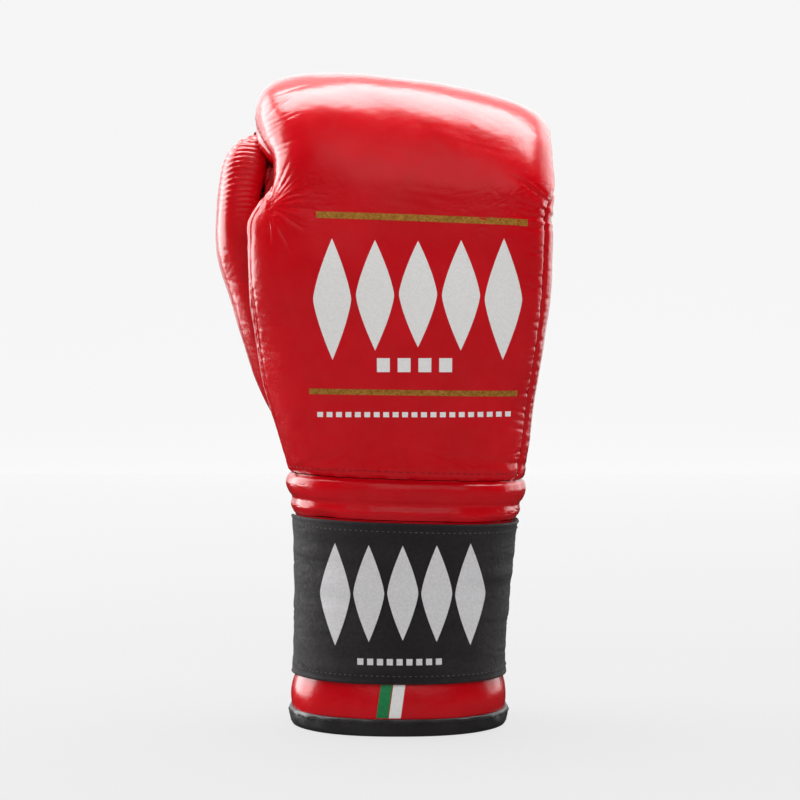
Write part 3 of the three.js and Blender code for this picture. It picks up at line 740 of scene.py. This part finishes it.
# ---- The thumb ----
THUMB_PANELS = [
    ("thumb_outer", (THUMB_FRONT_SEAM, ROUND_THE_THUMB[1]), ["thumb_outer_panel", "thumb_outer_foam"]),
    ("thumb_inner", (ROUND_THE_THUMB[0], THUMB_FRONT_SEAM), ["thumb_inner_panel", "thumb_inner_foam"]),
]
RIB_PITCH = 2.6
RIB_HEIGHT = 0.42


def thumb_ribs(points):
    """Puckers of the thumb's leather beside the slit, which bend down as they go left."""
    x, y, z = np.moveaxis(points, -1, 0)
    bent = z + 0.35 * (x + 66) + 0.02 * (x + 66) ** 2
    inside = 1 / (1 + np.exp(-(x + 86) / 1.6)) / (1 + np.exp(-(z - 251) / 2)) * ease((16 - y) / 8)
    return RIB_HEIGHT * np.sin(2 * math.pi * bent / RIB_PITCH + 0.7 * waves(points, 18, 5)) * inside


def make_thumb():
    for number, (name, turns, nodes) in enumerate(THUMB_PANELS):
        grid = Grid(thumb_surface, turns, (0, THUMB_END), (0.8, 0.8), middle=0.8)
        away = grid.edge_distance(("first", "last"))
        height = seam(away, 0.9, 1.3, 0.3, 4) + puckers(grid.points, away, 4, 90 + number, 0.2, 3)
        height += soft_leather(grid.points, 80 + number) + thumb_ribs(grid.points)
        height -= 0.14 * creases(grid.points, (14, 14, 6), 95 + number)
        grid.lift(height)
        finish_piece(sheet(name, grid), RED, "mitt", nodes)


# ---- The wrist band and the cuff ----
# In metres, two heights across the wrist band, from the cuff's side to the mitt's.
WRIST_BLEND_Z = (0.104, 0.121)
WRIST_BLEND = ("cuff", "mitt", *(tuple(HEM_MIDDLE + [0, 0, height]) for height in WRIST_BLEND_Z))
CUFF_THUMB_SEAM = 200
CUFF_LITTLE_SEAM = 340
CUFF_LOW_Z = 2
CUFF_HIGH_Z = 102.2
CUFF_PANELS = [
    ("cuff_back", (CUFF_LITTLE_SEAM - 360, CUFF_THUMB_SEAM), ["cuff_back_leather", "cuff_back_foam"]),
    ("cuff_thumb_flap", (CUFF_THUMB_SEAM, SLIT[0]), ["cuff_thumb_flap_leather", "cuff_thumb_flap_foam"]),
    ("cuff_little_flap", (SLIT[1], CUFF_LITTLE_SEAM), ["cuff_little_flap_leather", "cuff_little_flap_foam"]),
]
UPPER_ROLL_Z = 116.8
BAND_GROOVE_Z = 109.6
LOWER_ROLL_Z = 105.6


def make_wrist_band():
    grid = Grid(cuff_surface, ROUND_THE_CUFF, (BAND_LOW_Z, WRIST_SEAM_Z - 0.3), (0.7, 0.35))
    points = grid.points
    z = points[..., 2] + LEAN * points[..., 0]
    right = np.clip((points[..., 0] - 20) / 30, 0, 1)
    height = 1.5 * near(z, UPPER_ROLL_Z, 4.2) - 1.0 * near(z, BAND_GROOVE_Z, 1.9)
    height += 0.5 * near(z, LOWER_ROLL_Z, 2)
    height -= 0.3 * creases(points, (26, 26, 3.6), 120, 4) * (0.5 + right) * near(z, 107, 5)
    height -= 0.12 * creases(points, (13, 13, 5), 130) + 0.18 * waves(points, 14, 131)
    height += seam(grid.edge_distance(("top",)), 1.6, 1.2, 0, 5)
    grid.lift(height)
    band = sheet("wrist_band_leather", grid)
    finish_piece(band, RED, WRIST_BLEND, ["wrist_band"])


def make_cuff():
    made = {}
    for number, (name, turns, nodes) in enumerate(CUFF_PANELS):
        grid = Grid(cuff_surface, turns, (CUFF_LOW_Z, CUFF_HIGH_Z), (0.9, 0.9))
        points = grid.points
        away = grid.edge_distance(("first", "last"))
        shown = np.clip((points[..., 2] - 6) / 18, 0, 1)
        roll = 0.7 * np.sin(math.pi * shown) * (shown < 1)  # the padded roll that shows below the strap
        height = seam(away, 1.2, 1.4, 0.3, 5) + roll
        height -= 0.1 * creases(points, (18, 18, 6), 140 + number) - 0.12 * waves(points, 22, 150 + number)
        under_strap = (points[..., 2] > STRAP_LOW_Z - 1) & (points[..., 1] < 30)
        grid.lift(np.where(under_strap, np.minimum(height, 0), height))
        piece = sheet(name + "_panel", grid)
        made[name] = finish_piece(piece, RED, "cuff", nodes)
    return made


# ---- The strap ----
TAPE_THICKNESS = 0.85
STRAP_EDGE = 2.3  # the bound edge's width
STRAP_LIFT = 0.5
TAIL_RISE = 2.25  # how far the free end stands off, where it laps over the cuff and its tapes
FOLD_LENGTH = 6  # degrees, to each side of the fold


def strap_wrinkles(turn, z):
    """Soft crosswise wrinkles of the strap, strongest where it turns the corners."""
    points = cuff_surface(turn, z)
    corners = np.clip((np.abs(points[..., 0]) - 22) / 24, 0, 1)
    soft = 0.22 * waves(points, (60, 60, 9), 160) + 0.1 * waves(points, 24, 161)
    folds = 0.4 * corners * creases(points, (46, 46, 6.5), 162, 4)
    edge_grooves = near(z, STRAP_HIGH_Z - STRAP_EDGE, 0.7) + near(z, STRAP_LOW_Z + STRAP_EDGE, 0.7)
    return soft * 0.8 - folds - 0.22 * edge_grooves


def tail_rise(turn):
    """The free end's rise from the sewn part's level to its own."""
    return TAIL_RISE * ease((STRAP_SPLIT - 12 - turn) / 18)


def tail_shape(turn, z):
    return strap_wrinkles(turn, z) + tail_rise(turn)


def make_strap():
    section = strip_section(STRAP_LOW_Z, STRAP_HIGH_Z, STRAP_LIFT, STRAP_THICKNESS)
    back = strip("strap_back", section, (STRAP_SPLIT, STRAP_SEWN_END), 230, strap_wrinkles)
    finish_piece(back, BLACK_WEAVE, "cuff", ["wrist_strap"])

    tail = strip("strap_tail_cloth", section, (STRAP_FREE_END, STRAP_SPLIT + 0.02), 150, tail_shape)
    limits = [
        tuple(cuff_surface(np.array(float(turn)), np.array(float(STRIP_MIDDLE_Z))) * MM + HEM_MIDDLE)
        for turn in (STRAP_FOLD + FOLD_LENGTH, STRAP_FOLD - FOLD_LENGTH)
    ]
    finish_piece(tail, BLACK_WEAVE, ("cuff", "strap_tail", *limits), ["strap_tail"])

    section = strip_section(STRAP_LOW_Z + 4, STRAP_HIGH_Z - 4, 2.9, 2.0)
    tab = strip("strap_tab", section, (STRAP_FREE_END - 7, STRAP_FREE_END + 2), 16)
    finish_piece(tab, BLACK_TRIM, "strap_tail", ["strap_end_tab"])
    # Tapes: name, turns, heights, lift, body, the CAD node it stands for.
    tapes = [
        ("loop_tape_pile", (219, 262), (34, 93), 0.35, "cuff", "loop_tape"),
        ("hook_tape_hooks", (221, 258), (36, 91), 1.5, "strap_tail", "hook_tape"),
    ]
    for name, turns, heights, lift, body, node in tapes:
        section = strip_section(*heights, lift, TAPE_THICKNESS, corner=0.5)
        pile = strip(name, section, turns, 60, ripples(0.06, 2.2, 170))
        finish_piece(pile, TAPE, body, [node])
    return back


# ---- The hem binding, the gusset and the label ----
BINDING_HIGH_Z = 8.5
BINDING_THICKNESS = 1.3


def make_hem():
    outer, inner = 1.6, -(INSIDE_DEPTH + BINDING_THICKNESS)
    # The binding's outline, as (height, lift): over the cuff's edge, inside, underneath, and up the outside.
    section = [(BINDING_HIGH_Z - 0.2, outer - 0.35), (BINDING_HIGH_Z, outer - 0.9)]
    section += [(BINDING_HIGH_Z, 0.2), (CUFF_LOW_Z, 0), (CUFF_LOW_Z, -INSIDE_DEPTH)]
    section += [(BINDING_HIGH_Z, -INSIDE_DEPTH)]
    section += [(BINDING_HIGH_Z, inner), (3, inner - 0.2), (0.8, inner + 0.5), (0, inner + 2)]
    section += [(0, outer - 2.2), (0.5, outer - 0.7), (1.8, outer)]
    section += [(z, outer + 0.25 * math.sin(math.pi * (z - 1.8) / 6.5)) for z in np.arange(2.6, 8, 0.8)]

    def gathers(turn, z):
        outside = np.clip((z - 1.5) / 3, 0, 1) * np.clip(BINDING_HIGH_Z - z, 0, 1)
        return 0.16 * waves(cuff_surface(turn, z), (7, 7, 9), 180) * outside

    turns = even(cuff_surface, 0, ALL_BUT_THE_SLIT, CUFF_LOW_Z, 320)
    binding = swept("hem_binding_leather", section[::-1], turns, gathers)
    finish_piece(binding, BLACK_TRIM, "cuff", ["hem_binding"])


GUSSET_LAP = 11  # degrees, behind each edge of the slit
GUSSET_HEIGHTS = (10.5, 100.4)
LABEL_TURNS = (78, 102)
LABEL_HEIGHTS = (46, 79)
LINING_DEPTH = 9.8
LINING_JOIN_Z = 102.4


def lining_of_cuff(turn, z):
    return cuff_surface(turn, z, LINING_DEPTH)


def lining_of_thumb(turn, place):
    return thumb_surface(turn, place, THUMB_CAVITY_ROWS, THUMB_CAVITY_TIP)


def box_in_mm(node):
    """A CAD node's middle and half size, in millimetres from the hem's middle."""
    low, high = (np.array(corner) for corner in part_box(node))
    low, high = (low - HEM_MIDDLE) / MM, (high - HEM_MIDDLE) / MM
    return (low + high) / 2, (high - low) / 2


def make_inside():
    section = strip_section(*GUSSET_HEIGHTS, -INSIDE_DEPTH - 0.9, 0.9, 1.6, 0.5)
    turns = (SLIT[0] - GUSSET_LAP, SLIT[1] + GUSSET_LAP)
    gusset = strip("slit_gusset_cloth", section, turns, 30, ripples(0.25, (9, 9, 5), 190))
    finish_piece(gusset, BLACK_WEAVE, "cuff", ["slit_gusset"])
    section = strip_section(*LABEL_HEIGHTS, -INSIDE_DEPTH - 0.5, 0.4, 1.6, 0.3)
    label = strip("blank_label", section, LABEL_TURNS, 24, ripples(0.05, 12, 191))
    finish_piece(label, LABEL, "cuff", ["care_label"])
    # Cloths: name, surface, turns, places, body, the CAD node it stands for.
    cuff_heights = (CUFF_LOW_Z, LINING_JOIN_Z)
    wrist_heights = (LINING_JOIN_Z, LINING_JOIN_Z + 20)
    cloths = [
        ("cuff_lining_cloth", lining_of_cuff, ALL_BUT_THE_SLIT, cuff_heights, "cuff", "cuff_lining"),
        ("wrist_lining_cloth", lining_of_cuff, ROUND_THE_CUFF, wrist_heights, WRIST_BLEND, "wrist_lining"),
        ("hand_lining_cloth", cavity_surface, ROUND_THE_MITT, (0, MITT_END), "mitt", "hand_lining"),
        ("thumb_lining_cloth", lining_of_thumb, ROUND_THE_THUMB, (0.3, THUMB_END), "mitt", "thumb_lining"),
    ]
    for name, surface, turns, places, body, node in cloths:
        on_cuff = surface is lining_of_cuff
        grid = Grid(surface, turns, places, (2.0, 2.0), middle=None if on_cuff else 0.8)
        grid.lift(0.3 * waves(grid.points, 16, 195))
        finish_piece(sheet(name, grid), LINING, body, [node])
    middle, half = box_in_mm("grip_bar")
    along = np.linspace(-1, 1, 41)
    angle = np.radians(np.arange(0, 360, 15))
    radius = half[1] * (1 - np.abs(along) ** 9) ** 0.5 * (0.94 + 0.06 * np.abs(along))
    points = np.stack(
        [
            np.broadcast_to((middle[0] + half[0] * along)[:, None], (41, 24)),
            middle[1] + radius[:, None] * np.cos(angle),
            middle[2] + radius[:, None] * np.sin(angle),
        ],
        axis=-1,
    )
    roll = new_object("grip_roll", points, grid_faces(41, 24, closed=True))
    outward_faces(roll)
    finish_piece(roll, LINING, "mitt", ["grip_bar"])


def make_lock():
    """The short leather strip that holds the thumb's tip to the side of the fist."""
    middle, half = box_in_mm("thumb_lock")
    angle = np.radians(np.arange(0, 360, 6))
    rings = []
    outline = ((-1, 0.05), (-1, 0.5), (-1, 0.93), (-0.6, 1), (0.6, 1), (1, 0.93), (1, 0.5), (1, 0.05))
    for depth, share in outline:
        x = middle[0] + share * half[0] * rounded(np.cos(angle), 5)
        z = middle[2] + share * half[2] * rounded(np.sin(angle), 5)
        sag = 0.5 * np.cos((x - middle[0]) / half[0] * math.pi / 2)
        rings.append(np.stack([x, middle[1] + depth * half[1] + sag, z], axis=-1))
    points = np.array(rings)
    lock = new_object("thumb_lock_strip", points, grid_faces(*points.shape[:2], closed=True))
    outward_faces(lock)
    finish_piece(lock, RED, "mitt", ["thumb_lock"])


# ---- Prints and stitches, laid on the finished surfaces ----
def surface_tree(piece):
    vertices = [vertex.co.copy() for vertex in piece.data.vertices]
    faces = [list(polygon.vertices) for polygon in piece.data.polygons]
    return BVHTree.FromPolygons(vertices, faces)


def laid_from_front(tree, x, z, lift):
    """Points on the front of a surface at (x, z), raised by lift; all in millimetres."""
    laid = []
    for one_x, one_z in zip(np.ravel(x), np.ravel(z)):
        start = Vector((one_x, -400, one_z)) * MM + Vector(HEM_MIDDLE)
        spot, normal, _, _ = tree.ray_cast(start, Vector((0, 1, 0)))
        if normal.y > 0:
            normal = -normal
        laid.append((np.array(spot + normal * lift * MM) - HEM_MIDDLE) / MM)
    return np.array(laid).reshape(*np.shape(x), 3)


def print_on(name, tree, patches, material, body, lift=0.07):
    """A thin print, made of patches of (x, z) points."""
    vertices, faces = [], []
    for x, z in patches:
        points = laid_from_front(tree, x, z, lift)
        start = len(vertices)
        rows, columns = points.shape[:2]
        vertices += list(points.reshape(-1, 3))
        faces += [tuple(start + corner for corner in face) for face in grid_faces(rows, columns)]
    finish_piece(new_object(name, vertices, faces), material, body)


def bar(left, right, low, high, drop=0.0, slant=0.0, spacing=0.9):
    """A bar from left to right, which drops to the right, and whose ends slant."""
    across = np.linspace(0, 1, max(3, int((right - left) / spacing)))
    up = np.linspace(0, 1, max(3, int((high - low) / spacing)))
    s, t = np.meshgrid(across, up)
    return left + (right - left) * s + slant * t, low + (high - low) * t - drop * s


def lozenge(x, low, high, width):
    """A tall lozenge with softened corners."""
    t, s = np.meshgrid(np.linspace(0, 1, int((high - low) / 0.9)), np.linspace(-1, 1, 15), indexing="ij")
    half = (1 - np.abs(2 * t - 1) ** 1.35) * width / 2
    return x + s * half, low + (high - low) * t


def lozenge_row(left, right, count, low, high, longer, width):
    """Lozenges side by side, the outer ones longer at the foot."""
    patches = []
    for number in range(count):
        x = left + (right - left) * (number + 0.5) / count
        outwards = abs(2 * (number + 0.5) / count - 1)
        patches.append(lozenge(x, low - longer * outwards**2, high + 0.2 * longer * outwards**2, width))
    return patches


def dash_row(left, right, count, low, high):
    """Short dashes side by side."""
    pitch = (right - left) / count
    return [bar(left + pitch * k, left + pitch * (k + 0.62), low, high, 0, 0, 0.7) for k in range(count)]


STRAP_PRINT_LIFT = 0.1
STRIPE_LOW_Z = 9
STRIPE_HIGH_Z = 24.6
STRIPE_SLANT = 2.2
STRIPE_WIDTH = 5.6


def make_prints(mitt_tree, strap_tree, cuff_tree):
    """Plain bars, lozenges and dashes, all seen from the front in (x, z)."""
    upper_bar = bar(-38, 59.7, 243.6, 246.6, 3.6)
    lower_bar = bar(-41.7, 56, 162.2, 164.8, 1.3)
    print_on("gold_bars", mitt_tree, [upper_bar, lower_bar], GOLD_INK, "mitt")
    print_on("white_lozenges", mitt_tree, lozenge_row(-40.5, 58.5, 5, 184, 233, 9, 17.6), WHITE_INK, "mitt")
    print_on("white_small_dashes", mitt_tree, dash_row(-10, 28.5, 4, 172.5, 179), WHITE_INK, "mitt")
    print_on("white_dash_row", mitt_tree, dash_row(-38, 54.6, 21, 151.4, 153.8), WHITE_INK, "mitt")
    lozenges = lozenge_row(-38, 42, 5, 46, 91, 5, 14.6)
    dashes = dash_row(-19.4, 22.2, 9, 34.3, 37.3)
    print_on("strap_lozenges", strap_tree, lozenges, GREY_INK, "cuff", STRAP_PRINT_LIFT)
    print_on("strap_dash_row", strap_tree, dashes, GREY_INK, "cuff", STRAP_PRINT_LIFT)
    for name, left, ink in (("green_stripe", -10.6, GREEN_INK), ("white_stripe", -4.6, WHITE_INK)):
        stripe = bar(left, left + STRIPE_WIDTH, STRIPE_LOW_Z, STRIPE_HIGH_Z, 0, STRIPE_SLANT)
        print_on(name, cuff_tree, [stripe], ink, "cuff")


def settled(tree, path, lift):
    """A path moved onto the nearest surface, and raised from it by lift."""
    laid = []
    for point in path:
        spot, normal, _, _ = tree.find_nearest(Vector(np.asarray(point) * MM + HEM_MIDDLE))
        outward = Vector(spot) - Vector((HEM_MIDDLE[0], HEM_MIDDLE[1], spot[2]))
        if normal.dot(outward) < 0:
            normal = -normal
        laid.append((np.array(spot + normal * lift * MM) - HEM_MIDDLE) / MM)
    return np.array(laid)


STITCH_SIDES = 6


def stitch_row(name, path, material, body, length=2.2, pitch=3.2, radius=0.3):
    """A row of stitches along a path, joined into one piece."""
    path = np.asarray(path)
    run = np.concatenate([[0], np.cumsum(np.linalg.norm(np.diff(path, axis=0), axis=1))])

    def at(distance):
        return np.array([np.interp(distance, run, path[:, axis]) for axis in range(3)])

    rings = [(-0.5, 0.25), (-0.34, 0.85), (0, 1), (0.34, 0.85), (0.5, 0.25)]
    angle = np.radians(np.arange(0, 360, 360 / STITCH_SIDES))
    vertices, faces = [], []
    for middle in np.arange(pitch / 2, run[-1] - pitch / 2, pitch):
        along = at(middle + length / 2) - at(middle - length / 2)
        along /= np.linalg.norm(along)
        side = np.cross(along, [0.31, 0.47, 0.83])
        side /= np.linalg.norm(side)
        other = np.cross(along, side)
        start = len(vertices)
        for offset, share in rings:
            centre = at(middle) + along * offset * length
            for one in angle:
                vertices.append(centre + radius * share * (side * math.cos(one) + other * math.sin(one)))
        end = start + STITCH_SIDES * len(rings)
        tube = grid_faces(len(rings), STITCH_SIDES, closed=True)
        faces += [tuple(start + corner for corner in face) for face in tube]
        faces.append(tuple(range(start + STITCH_SIDES - 1, start - 1, -1)))
        faces.append(tuple(range(end - STITCH_SIDES, end)))
    finish_piece(new_object(name, vertices, faces), material, body)


STRAP_ROW = 4.1  # from the strap's edge to its row of stitches


def make_stitches(strap_tree, mitt_tree, hem_tree):
    turns = even(cuff_surface, 0, (STRAP_SPLIT + 1, STRAP_SEWN_END - 1), STRIP_MIDDLE_Z, 400)
    for name, z in (("upper", STRAP_HIGH_Z - STRAP_ROW), ("lower", STRAP_LOW_Z + STRAP_ROW)):
        path = settled(strap_tree, cuff_surface(turns, np.full_like(turns, z), -3), 0.1)
        stitch_row(f"strap_{name}_stitches", path, GREY_THREAD, "cuff", 1.3, 2.6, 0.24)
    turns = even(cuff_surface, 0, (ALL_BUT_THE_SLIT[0] + 2, ALL_BUT_THE_SLIT[1] - 2), CUFF_LOW_Z, 700)
    path = cuff_surface(turns, np.full_like(turns, 6.6), -1.6)
    stitch_row("hem_stitches", settled(hem_tree, path, 0.1), BLACK_THREAD, "cuff", 2.4, 3.6, 0.3)
    for name, turns, places in (
        ("wrist_seam_stitches", np.linspace(LITTLE_SEAM + 2, THUMB_SEAM - 2, 300), 0.026),
        ("thumb_side_stitches", THUMB_SEAM - 2.2, np.linspace(0.05, 1.9, 400)),
    ):
        path = settled(mitt_tree, panel_surface(*np.broadcast_arrays(turns, places)), 0.02)
        stitch_row(name, path, RED_THREAD, "mitt", 2.0, 3.4, 0.22)


# ---- The studio ----
CAMERA_DISTANCE = 900
CAMERA_Z = 186
CAMERA_X = 0.7
LENS = 82.5
PITCH_DOWN = 1.78


def place_camera():
    data = bpy.data.cameras.new("camera")
    data.lens = LENS
    data.sensor_width = 36
    data.clip_end = 30
    camera = add_object("camera", data)
    camera.location = HEM_MIDDLE + np.array([CAMERA_X, -CAMERA_DISTANCE, CAMERA_Z]) * MM
    camera.rotation_euler = (math.radians(90 - PITCH_DOWN), 0, 0)
    bpy.context.scene.camera = camera


WALL_START = 1700
WALL_CURVE = 1300
WALL_TOP = 5000
BACKDROP_HALF_WIDTH = 7000
PAPER_GREY = 0.04


def make_backdrop():
    """A seamless sweep: a wide floor, a large curve, and the wall behind."""
    floor = [(-9000, 0), (-3000, 0), (-600, 0), (600, 0), (WALL_START, 0)]
    curve = np.radians(np.linspace(0, 90, 24))
    wall = [(WALL_START + WALL_CURVE * math.sin(a), WALL_CURVE - WALL_CURVE * math.cos(a)) for a in curve]
    wall.append((WALL_START + WALL_CURVE, WALL_TOP))
    # Each paper: name, profile, its glow near the glove and at the wall, and whether the leather mirrors it.
    for name, profile, glow, reflected in (
        ("floor", floor, (0.73, 0.88), False),
        ("wall", wall, (0.9, 0.9), True),
    ):
        shader = Shader(f"{name}_paper", Roughness=0.9, Specular_IOR_Level=0.1)
        shader.colours(shader.noise(3, 2), (PAPER_GREY,) * 3, (0.975 * PAPER_GREY,) * 3)
        shader.principled.inputs["Emission Color"].default_value = (1, 1, 1, 1)
        distance = shader.nodes.new("ShaderNodeSeparateXYZ")
        shader.links.new(shader.place, distance.inputs[0])
        glowing = shader.spread(distance.outputs["Y"], 0.2, WALL_START * MM, *glow)
        shader.links.new(glowing, shader.principled.inputs["Emission Strength"])
        across = np.linspace(-BACKDROP_HALF_WIDTH, BACKDROP_HALF_WIDTH, 9)
        points = [[(x, y, z) for x in across] for y, z in profile]
        sweep = new_object(name, points, grid_faces(len(profile), 9))
        sweep.data.materials.append(shader.bumps((shader.noise(400, 2), 0.0001)))
        sweep.visible_glossy = reflected


def area_light(name, place, aim, size, watts, reflected):
    data = bpy.data.lights.new(name, "AREA")
    data.shape = "RECTANGLE"
    data.size, data.size_y = size
    data.energy = watts
    lamp = add_object(name, data)
    lamp.location = place
    lamp.rotation_euler = (Vector(aim) - Vector(place)).to_track_quat("-Z", "Y").to_euler()
    lamp.visible_camera = False
    lamp.visible_glossy = reflected


# Lights: name, place and aim in metres, size, watts, and whether the leather mirrors it.
LIGHTS = [
    ("overhead", (0.02, 0.16, 1.15), (0.02, 0.1599, 0), (1.6, 0.65), 28, True),
    ("back", (0, 1.6, 0.98), (0, 0, 0.3), (2.6, 0.8), 6, True),
    ("left", (-1.2, 0.45, 0.55), (0, 0, 0.2), (1.2, 1.3), 25, True),
    ("right", (1.2, 0.6, 0.55), (0, 0, 0.2), (1.2, 1.3), 7, True),
    ("front_fill", (0.1, -1.6, 1.1), (0, 0, 0.15), (1.6, 1.2), 22.5, False),
]
WORLD_AS_LIGHT = 0.03
WORLD_AS_SEEN = 0.9


def light_studio():
    for light in LIGHTS:
        area_light(*light)
    world = bpy.data.worlds.new("studio")
    world.use_nodes = True
    nodes, links = world.node_tree.nodes, world.node_tree.links
    background = nodes["Background"]
    seen = nodes.new("ShaderNodeMapRange")
    seen.inputs["To Min"].default_value = WORLD_AS_LIGHT
    seen.inputs["To Max"].default_value = WORLD_AS_SEEN
    links.new(nodes.new("ShaderNodeLightPath").outputs["Is Camera Ray"], seen.inputs["Value"])
    links.new(seen.outputs[0], background.inputs["Strength"])
    background.inputs["Color"].default_value = (1, 1, 1, 1)
    bpy.context.scene.world = world
    bpy.context.scene.view_settings.view_transform = "Standard"


# ---- Everything together ----
place_camera()
mitt = make_mitt()
make_thumb()
make_lock()
make_wrist_band()
cuff = make_cuff()
strap = make_strap()
make_hem()
make_inside()
mitt_tree = surface_tree(mitt["mitt_back"])
strap_tree = surface_tree(strap)
make_prints(mitt_tree, strap_tree, surface_tree(cuff["cuff_back"]))
make_stitches(strap_tree, mitt_tree, surface_tree(bpy.data.objects["hem_binding_leather"]))
make_backdrop()
light_studio()
